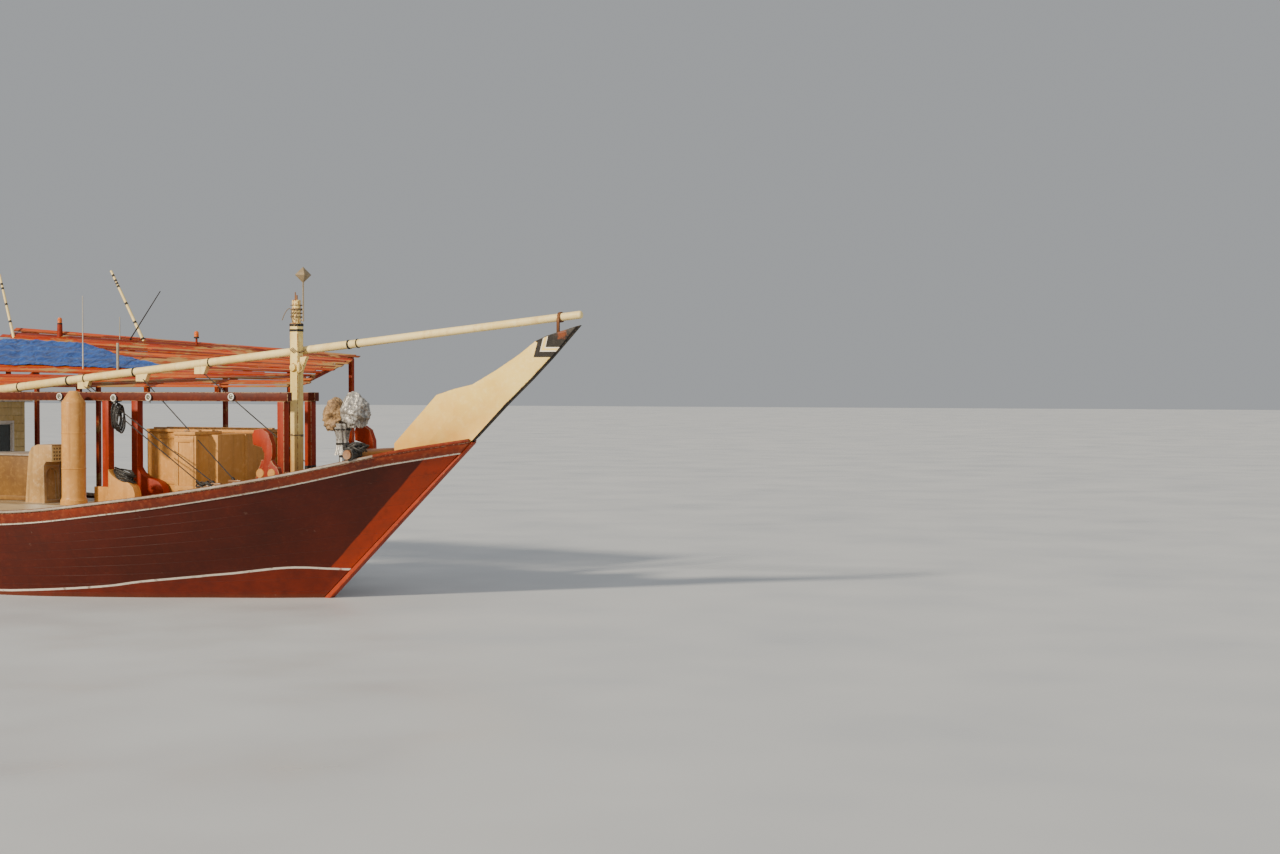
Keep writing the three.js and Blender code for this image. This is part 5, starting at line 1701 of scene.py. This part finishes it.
@dataclass
class HaulerCover:
    """Crumpled sheeting tied over the net hauler: a silvery head, a tan head and a skirt on the post."""

    # The heads. Columns: aft of the forefoot, height, then half sizes along, across and up.
    heads: tuple[tuple[float, float, float, float, float], ...] = (
        (-0.56, 3.49, 0.25, 0.25, 0.37), (-0.09, 3.40, 0.19, 0.215, 0.335))
    skirt_a: float = -0.26
    mouth: float = 0.8  # the bag's open mouth is this share of its half height under its middle
    mouth_width: float = 0.2
    cloth: float = 0.002

    def crumple(self, p: Vector, seed: float) -> float:
        """How far a point of the sheeting stands out: broad lumps, then ever finer sharp creases."""
        shift = Vector((seed, seed * 0.37, 0))
        lumps = 0.05 * noise.noise(p * 3.2 + shift)
        push = lumps - 0.03
        for scale, depth in ((5.5, 0.045), (11.0, 0.026), (24.0, 0.012)):
            push += depth * (1 - 2.4 * abs(noise.noise(p * scale + shift)))
        return push

    def head(self, row: tuple[float, float, float, float, float], seed: float) -> Form:
        """Builds one crumpled head."""
        a, z, along, across, up = row
        form = Form()
        centre = Vector((aft(a), 0, z))
        verts = form.ball(tuple(centre), 1.0, (along * 0.98, across * 0.98, up * 0.98), 112)
        for v in verts:
            way = v.co - centre
            v.co += way.normalized() * min(self.crumple(v.co, seed), 0.05)
        mouth = [v for v in verts if v.co.z < z - self.mouth * up
                 and (v.co.xy - centre.xy).length < self.mouth_width]
        bmesh.ops.delete(form.bm, geom=mouth, context="VERTS")
        form.thicken(self.cloth)
        return form

    def skirt(self) -> Form:
        """Builds the pleated skirt that hangs round the post."""
        form = Form()
        rows = [(0.150, 2.69), (0.128, 2.78), (0.108, 2.9), (0.115, 3.0), (0.13, 3.1), (0.16, 3.2),
                (0.17, 3.28)]
        rings = []
        for radius, z in rows:
            ring = []
            for k in range(72):
                angle = math.tau * k / 72
                fold = noise.noise(Vector((math.cos(angle) * 3, math.sin(angle) * 3, z * 6)))
                pleat = 0.010 * math.sin(9 * angle + 6 * z) + 0.016 * fold
                r = radius + pleat
                ring.append((aft(self.skirt_a) + r * math.cos(angle), r * math.sin(angle), z))
            rings.append(ring)
        form.skin(rings, capped=False)
        bmesh.ops.subdivide_edges(form.bm, edges=form.bm.edges[:], cuts=1, use_grid_fill=True, smooth=0.6)
        return form

    def build(self) -> None:
        silver = self.head(self.heads[0], 3.3).piece("hauler_sheet_fore", SILVER_SHEET, smooth=40)
        sack = self.head(self.heads[1], 8.1).piece("hauler_sheet_back", SACKING, smooth=40)
        skirt = self.skirt().piece("hauler_skirt", SILVER_SHEET, replaces=["hauler_cover"], smooth=180)
        form = Form()
        x = aft(self.skirt_a)
        form.wrap((x, 0, 2.9), (0, 0, 1), 0.115, 3.2, 0.006)
        form.wrap((x, 0, 3.17), (0, 0, 1), 0.155, 2.2, 0.006)
        form.piece("hauler_ties", BLACK_ROPE)


@dataclass(frozen=True)
class Opening:
    """A window in one of the deckhouse walls: its middle along the wall, and its width."""

    middle: float
    width: float
    mullion: bool = True


@dataclass
class Deckhouse:
    """The deckhouse: boarded walls, framed windows with glass, doors, roof, console, wheel and bench."""

    fore: float = 9.35
    back: float = 14.6
    half: float = 1.65
    top: float = 3.64
    wall: float = 0.06
    low: float = 2.56
    high: float = 3.18
    door_fore: float = 9.75
    door_back: float = 10.45
    door_top: float = 3.2
    board: float = 0.17
    corner: float = 0.03  # how far the boards stop short of a wall's ends
    frame: float = 0.055
    side_windows: tuple[Opening, ...] = (Opening(11.25, 0.9), Opening(12.55, 0.9), Opening(13.75, 0.7))
    fore_windows: tuple[Opening, ...] = (Opening(-0.95, 0.62, False), Opening(0.0, 0.76),
                                         Opening(0.95, 0.62, False))
    back_windows: tuple[Opening, ...] = (Opening(-0.8, 0.6, False), Opening(0.8, 0.6, False))

    def place(self, wall: str, along: float, out: float, z: float) -> Point:
        """A point on a wall: along it, out from its outer face, and up."""
        if wall == "fore":
            return (aft(self.fore) + out, along, z)
        if wall == "aft":
            return (aft(self.back) - out, along, z)
        side = 1 if wall == "port" else -1
        return (aft(along), side * (self.half + out), z)

    def bar(self, form: Form, wall: str, start: tuple[float, float], end: tuple[float, float], out: float,
            width: float) -> None:
        """Adds a bar on a wall between two places, each along it and up.

        Args:
            form: what it is added to.
            wall: the wall's name.
            start: one end's place along the wall, and its height.
            end: the other end's.
            out: how far the bar stands out of the wall.
            width: its breadth on the wall.
        """
        p, q = self.place(wall, start[0], 0.0, start[1]), self.place(wall, end[0], out, end[1])
        low = Vector([min(a, b) for a, b in zip(p, q)])
        high = Vector([max(a, b) for a, b in zip(p, q)])
        upright = abs(start[0] - end[0]) < 1e-6
        grow = Vector((0, 0, 0))
        if upright:
            grow = Vector((0, width / 2, 0)) if wall in ("fore", "aft") else Vector((width / 2, 0, 0))
        else:
            grow.z = width / 2
        form.block(tuple(low - grow), tuple(high + grow))

    def windows(self, wall: str, rows: Sequence[Opening]) -> None:
        """Frames and glazes a wall's windows."""
        frames, panes = Form(), Form()
        for w in rows:
            left, right, f = w.middle - w.width / 2, w.middle + w.width / 2, self.frame
            for z in (self.low - f / 2, self.high + f / 2):
                self.bar(frames, wall, (left - f, z), (right + f, z), 0.022, f)
            for along in (left - f / 2, right + f / 2):
                self.bar(frames, wall, (along, self.low), (along, self.high), 0.022, f)
            self.bar(frames, wall, (left - f - 0.02, self.low - f), (right + f + 0.02, self.low - f), 0.045,
                     0.03)
            for along in (left + 0.012, right - 0.012) + ((w.middle,) if w.mullion else ()):
                self.bar(frames, wall, (along, self.low), (along, self.high), -0.035, 0.024)
            for z in (self.low + 0.012, self.high - 0.012):
                self.bar(frames, wall, (left, z), (right, z), -0.035, 0.024)
            p, q = self.place(wall, left, -0.02, self.low), self.place(wall, right, -0.026, self.high)
            panes.block(tuple(map(min, zip(p, q))), tuple(map(max, zip(p, q))))
        frames.ease(0.003)
        frames.piece(f"window_frames_{wall}", WHITE)
        panes.piece(f"window_panes_{wall}", GLASS)

    def boards(self, wall: str, rows: Sequence[Opening]) -> None:
        """Lays lapped boards up a wall, cut round its windows and its door."""
        form = Form()
        across = wall in ("fore", "aft")
        first, last = (-self.half, self.half) if across else (self.fore, self.back)
        first, last = first + self.corner, last - self.corner
        foot = LINES.station_at(self.back if wall == "aft" else self.fore).z_deck
        z = foot + 0.1
        while z < self.top - 0.04:
            cuts = []
            if z + self.board / 2 > self.low - 0.1 and z - self.board / 2 < self.high + 0.075:
                cuts += [(w.middle - w.width / 2 - 0.06, w.middle + w.width / 2 + 0.06) for w in rows]
            if not across and z - self.board / 2 < self.door_top + 0.06:
                cuts.append((self.door_fore - 0.06, self.door_back + 0.06))
            start = first
            for left, right in sorted(cuts) + [(last, last)]:
                if left - start > 0.05:
                    self.board_between(form, wall, start, left, z)
                start = max(start, right)
            z += self.board
        form.ease(0.004)
        form.piece(f"wall_boards_{wall}", HOUSE_CREAM)

    def board_between(self, form: Form, wall: str, start: float, end: float, z: float) -> None:
        """Adds one board, kept above the deck where the deck climbs aft."""
        if wall in ("port", "starboard"):
            while end - start > 0.3 and LINES.station_at(end).z_deck + 0.02 > z - self.board / 2:
                end -= 0.1
            if LINES.station_at(end).z_deck + 0.02 > z - self.board / 2:
                return
        p = self.place(wall, start, -0.002, z - self.board / 2 + 0.004)
        q = self.place(wall, end, 0.012, z + self.board / 2 - 0.004)
        form.block(tuple(map(min, zip(p, q))), tuple(map(max, zip(p, q))))

    def doors(self) -> None:
        """Finishes the doors: ledges, a glazed pane and a handle with its backplate, on the door's own body.
        """
        for side, sign in (("port", 1), ("starboard", -1)):
            node = f"house_door_{side}"
            eased(node, BRICK, 0.004)
            body = body_of(node)
            y = sign * self.half
            trim, iron, pane = Form(), Form(), Form()
            left, right = aft(self.door_back), aft(self.door_fore)
            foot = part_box(node)[0].z
            for z in (foot + 0.16, 2.42):
                trim.block((left + 0.03, min(y, y + sign * 0.014), z - 0.05),
                           (right - 0.03, max(y, y + sign * 0.014), z + 0.05))
            for x in (left + 0.085, right - 0.085):
                trim.block((x - 0.045, min(y, y + sign * 0.014), foot + 0.02),
                           (x + 0.045, max(y, y + sign * 0.014), self.door_top - 0.03))
            trim.ease(0.003)
            trim.piece(f"door_ledges_{side}", BRICK, body)
            pane.block((left + 0.15, y - sign * 0.026 - 0.003, 2.56),
                       (right - 0.15, y - sign * 0.026 + 0.003, 3.05))
            pane.piece(f"door_pane_{side}", GLASS, body)
            x, z = left + 0.07, 2.25
            iron.pole((x, y + sign * 0.014, z), (x, y + sign * 0.05, z), 0.008, sides=12)
            iron.timber((x - 0.01, y + sign * 0.052, z), (x + 0.1, y + sign * 0.052, z), 0.012, 0.018)
            iron.block((x - 0.02, min(y + sign * 0.014, y + sign * 0.018), z - 0.08),
                       (x + 0.02, max(y + sign * 0.014, y + sign * 0.018), z + 0.06))
            iron.piece(f"door_handle_{side}", STEEL, body)

    def roof(self) -> None:
        """Finishes the roof and sets rails on it for the gear stowed there."""
        eased("house_roof", WHITE, 0.014)
        form = Form()
        for y in (-1.2, 1.2):
            form.timber((aft(9.6), y, self.top + 0.16), (aft(14.3), y, self.top + 0.16), 0.035, 0.03)
            for k in range(7):
                x = aft(lerp(9.7, 14.2, k / 6))
                form.timber((x, y, self.top + 0.075), (x, y, self.top + 0.16), 0.03, 0.03)
        form.ease(0.004)
        form.piece("roof_rails", WHITE)

    def inside(self) -> None:
        """Finishes the console with instruments and a compass, the wheel, and the bench with its cushion."""
        eased("helm_console", CABIN_WOOD, 0.008)
        eased("cabin_bench", CABIN_WOOD, 0.01)
        eased("steering_wheel", CABIN_WOOD, 0.004)
        top = 2.25
        form = Form()
        form.turned(aft(9.62), 0.0, [(0.0, top), (0.11, top), (0.11, top + 0.05), (0.085, top + 0.07),
                                     (0.08, top + 0.12), (0.0, top + 0.15)], 32)
        for y in (-0.42, 0.42):
            form.block((aft(9.74), y - 0.12, top), (aft(9.6), y + 0.12, top + 0.15))
        form.pole((aft(9.78), -0.25, top), (aft(9.8), -0.25, top + 0.16), 0.012, sides=12)
        form.ball((aft(9.8), -0.25, top + 0.17), 0.028, fine=16)
        form.ease(0.004)
        form.piece("console_instruments", BLACK)
        low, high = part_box("cabin_bench")
        cushion = Form()
        cushion.block((low.x + 0.04, low.y + 0.05, high.z - 0.002),
                      (high.x - 0.04, high.y - 0.05, high.z + 0.07))
        cushion.ease(0.03)
        cushion.piece("bench_cushion", TARPAULIN)

    def build(self) -> None:
        """Builds the deckhouse."""
        for wall, rows in (("port", self.side_windows), ("starboard", self.side_windows),
                           ("fore", self.fore_windows),
                           ("aft", self.back_windows)):
            eased(f"house_wall_{wall}", HOUSE_CREAM, 0.004)
            self.boards(wall, rows)
            self.windows(wall, rows)
        self.doors()
        self.roof()
        self.inside()


@dataclass
class SternGear:
    """The rudder with its straps, the bronze propeller and the bars on the quarters."""

    straps: tuple[float, ...] = (-1.1, -0.2, 0.7)
    strap_length: float = 0.55
    blade_half: float = 0.036
    stock: float = 0.06
    bars: int = 17
    first_bar: float = 10.7
    bar_spacing: float = 0.29
    bar_lean: float = 0.2
    bar_drop: float = 0.3
    bar_height: float = 0.44

    def fore_edge(self, z: float) -> float:
        """Where the rudder's raked fore edge lies at a height."""
        mesh = frame["nodes"]["rudder"].data
        found = []
        for edge in mesh.edges:
            p, q = (mesh.vertices[i].co for i in edge.vertices)
            if (p.z - z) * (q.z - z) < 0:
                found.append(lerp(p.x, q.x, (z - p.z) / (q.z - p.z)))
        return max(found)

    def build(self) -> None:
        """Finishes the rudder and the propeller."""
        form = Form()
        for z in self.straps:
            x = self.fore_edge(z)
            form.block((x - 2 * self.stock - 0.01, -self.stock - 0.008, z - 0.035),
                       (x - self.stock, self.stock + 0.008, z + 0.035))
            for y in (-1, 1):
                out = y * (self.blade_half + 0.005)
                form.timber((x - self.strap_length, out, z), (x - self.stock, out, z), 0.014, 0.07)
        form.ease(0.003)
        form.piece("rudder_straps", STEEL, body_of("rudder"))
        eased("rudder", FOULED, 0.008)
        eased("propeller", BRONZE, 0.004, 40)
        self.quarter_bars()

    def quarter_bars(self) -> None:
        """Fixes the row of slanted white bars to each quarter, under the rub band."""
        form = Form()
        for k in range(self.bars):
            a = self.first_bar + k * self.bar_spacing
            head, foot = LINES.station_at(a), LINES.station_at(a + self.bar_lean)
            top = head.at(head.z_rail - self.bar_drop, 0.006)
            low = foot.at(foot.z_rail - self.bar_drop - self.bar_height, 0.006)
            for side in (1, -1):
                form.timber((top[0], side * top[1], top[2]), (low[0], side * low[1], low[2]), 0.024, 0.05,
                            0.0)
        form.ease(0.004)
        form.piece("quarter_bars", MOULDING)


@dataclass
class Trim:
    """Small fittings: lamps on the awning beam, beacons, aerials and the poles laid over the fore awning."""

    # The round lamps on the starboard beam's outer face. Columns: aft of the forefoot, height.
    lamps: tuple[Pair, ...] = ((6.27, 3.77), (4.86, 3.745), (3.97, 3.76), (1.94, 3.775))
    beam_face: float = -0.49
    # Aerials and rods. Columns: foot and head as aft, to port, up; radius at the foot and at the head.
    rods: tuple[tuple[Point, Point, float, float], ...] = (
        ((7.12, 1.05, 4.2), (7.12, 1.05, 5.86), 0.017, 0.009),
        ((7.24, 2.3, 4.8), (7.24, 2.3, 5.46), 0.012, 0.009),
        ((6.17, 1.05, 4.16), (6.17, 1.05, 4.87), 0.03, 0.03),
    )
    dark_rod: tuple[Point, Point] = ((7.05, 2.3, 4.86), (6.16, 2.35, 5.99))
    dark_rod_radius: float = 0.014
    # The cream poles with black bands. Columns: foot, head, radius, then the bands' shares of the length.
    poles: tuple[tuple[Point, Point, float, tuple[float, ...]], ...] = (
        ((6.6, 2.35, 4.9), (7.55, 2.38, 6.46), 0.036, (0.05, 0.28, 0.54, 0.78, 0.82, 0.86, 0.93)),
        ((10.05, 2.1, 4.85), (10.72, 2.3, 6.46), 0.034, (0.1, 0.34, 0.58, 0.8, 0.86)),
    )
    # Beacons on stalks. Columns: foot as aft, to port, up, then the stalk's height and radius.
    beacons: tuple[tuple[Point, float, float], ...] = (((8.9, 2.25, 4.96), 0.36, 0.055),
                                                       ((5.17, 2.33, 4.78), 0.2, 0.022))

    def lamp(self, row: Pair, metal: Form, rims: Form, glass: Form) -> None:
        """Fixes one round lamp with its bezel and white rim to the beam's face."""
        x, z = aft(row[0]), row[1]
        metal.pole((x, self.beam_face, z), (x, self.beam_face - 0.04, z), 0.058, 0.068, 28)
        metal.block((x - 0.02, self.beam_face - 0.02, z - 0.11), (x + 0.02, self.beam_face, z + 0.08))
        turns = [math.tau * k / 28 for k in range(28)]
        rim = [(x + 0.06 * math.cos(t), self.beam_face - 0.045, z + 0.06 * math.sin(t)) for t in turns]
        rims.rope(rim, 0.012, joined=True)
        glass.ball((x, self.beam_face - 0.04, z), 0.054, (1.0, 0.4, 1.0), 24)

    def beacon(self, row: tuple[Point, float, float], stalk: Form, glass: Form, cap: Form) -> None:
        """Stands one amber beacon on its stalk."""
        (a, y, z), height, radius = row
        x = aft(a)
        stalk.pole((x, y, z - 0.06), (x, y, z + height), radius * 1.15, radius, 16)
        top = z + height
        cap.turned(x, y, [(0.0, top), (0.055, top), (0.055, top + 0.03), (0.0, top + 0.03)], 20)
        glass.turned(x, y, [(0.0, top + 0.028), (0.045, top + 0.03), (0.05, top + 0.06), (0.046, top + 0.125),
                            (0.026, top + 0.15), (0.0, top + 0.155)], 24)

    def build(self) -> None:
        """Builds the fittings."""
        metal, rims, glass = Form(), Form(), Form()
        for row in self.lamps:
            self.lamp(row, metal, rims, glass)
        metal.piece("lamp_bezels", STEEL)
        rims.piece("lamp_rims", WHITE, smooth=60)
        glass.piece("lamp_glasses", LAMP_GLASS, smooth=60)
        stalks, amber, caps = Form(), Form(), Form()
        for row in self.beacons:
            self.beacon(row, stalks, amber, caps)
        stalks.piece("beacon_stalks", BRICK, smooth=40)
        amber.piece("beacon_glasses", AMBER, smooth=40)
        caps.piece("beacon_bases", BLACK, smooth=40)
        rods, poles, bands = Form(), Form(), Form()
        for foot, head, thick, thin in self.rods:
            rods.pole((aft(foot[0]), *foot[1:]), (aft(head[0]), *head[1:]), thick, thin, 12)
        rods.piece("aerials", ROD_GREY, smooth=40)
        for foot, head, radius, shares in self.poles:
            start, end = Vector((aft(foot[0]), *foot[1:])), Vector((aft(head[0]), *head[1:]))
            poles.pole(tuple(start), tuple(end), radius, radius * 0.7, 20)
            half = (end - start).normalized() * 0.025
            for t in shares:
                middle = start.lerp(end, t)
                bands.pole(tuple(middle - half), tuple(middle + half), lerp(radius, radius * 0.7, t) + 0.002,
                           sides=20)
        foot, head = self.dark_rod
        bands.pole((aft(foot[0]), *foot[1:]), (aft(head[0]), *head[1:]), self.dark_rod_radius,
                   self.dark_rod_radius * 0.7, 12)
        poles.piece("banded_pole", SPAR_CREAM, smooth=40)
        bands.piece("pole_bands", BLACK, smooth=40)


@dataclass
class Studio:
    """The pale floor at the waterline, the soft lights and the camera at the photograph's place."""

    eye: Point = (28.086, -30.638, 4.0)
    heading: tuple[float, float] = (-0.4617, 0.887)
    focal_pixels: float = 2000.0
    image_width: float = 1280.0
    image_height: float = 854.0
    horizon_row: float = 385.0
    sensor: float = 36.0
    floor_half: float = 300.0

    def camera(self) -> None:
        """Places the camera, tilted so that the horizon falls on its row."""
        data = bpy.data.cameras.new("camera")
        data.sensor_width = self.sensor
        data.lens = self.sensor * self.focal_pixels / self.image_width
        data.clip_end = 2000
        eye = bpy.data.objects.new("camera", data)
        eye.location = self.eye
        drop = (self.image_height / 2 - self.horizon_row) / self.focal_pixels
        way = Vector((*self.heading, -drop))
        eye.rotation_euler = way.to_track_quat("-Z", "Y").to_euler()
        bpy.context.scene.collection.objects.link(eye)
        bpy.context.scene.camera = eye

    def lights(self) -> None:
        """Sets the pale surround, the warm key from starboard and a little aft, and a fill from the bow."""
        world = bpy.data.worlds.new("studio")
        world.use_nodes = True
        world.node_tree.nodes["Background"].inputs["Color"].default_value = (0.9, 0.93, 0.96, 1)
        world.node_tree.nodes["Background"].inputs["Strength"].default_value = 0.42
        bpy.context.scene.world = world
        for name, way, strength, angle, colour in (
            ("key", (0.3, 0.85, -0.45), 5.2, 5, (1, 0.87, 0.68)),
            ("fill", (-0.7, 0.6, -0.5), 0.7, 40, (0.97, 0.97, 1)),
        ):
            lamp = bpy.data.lights.new(name, "SUN")
            lamp.energy, lamp.angle, lamp.color = strength, math.radians(angle), colour
            thing = bpy.data.objects.new(name, lamp)
            thing.rotation_euler = Vector(way).to_track_quat("-Z", "Y").to_euler()
            bpy.context.scene.collection.objects.link(thing)

    def floor(self) -> None:
        """Lays the plain floor at the waterline."""
        mesh = bpy.data.meshes.new("floor")
        bm = bmesh.new()
        bmesh.ops.create_grid(bm, x_segments=1, y_segments=1, size=self.floor_half)
        bm.to_mesh(mesh)
        bm.free()
        g = Graph("floor")
        g.surface(Base_Color=g.mix(g.step(g.noise(0.05, 3), 0.3, 0.7), "c9ccce", "c3c7ca"),
                  Roughness=g.step(g.noise(0.3, 2), 0, 1, 0.9))
        mesh.materials.append(g.material)
        floor = bpy.data.objects.new("floor", mesh)
        bpy.context.scene.collection.objects.link(floor)

    def build(self) -> None:
        """Sets the whole studio."""
        self.floor()
        self.lights()
        self.camera()


def main() -> None:
    """Builds the boat in order, from the studio to the smallest fittings."""
    logging.basicConfig(level=logging.INFO, format="%(message)s")
    parts = (Studio(), Planking(), Rails(), StemHead(), KingPost(), Spar(), DeckGear(), *awnings(),
             Tarpaulin(),
             HaulerCover(), Deckhouse(), SternGear(), Trim())
    for part in parts:
        part.build()
        log.info("built %s", type(part).__name__)


if __name__ == "__main__":
    main()
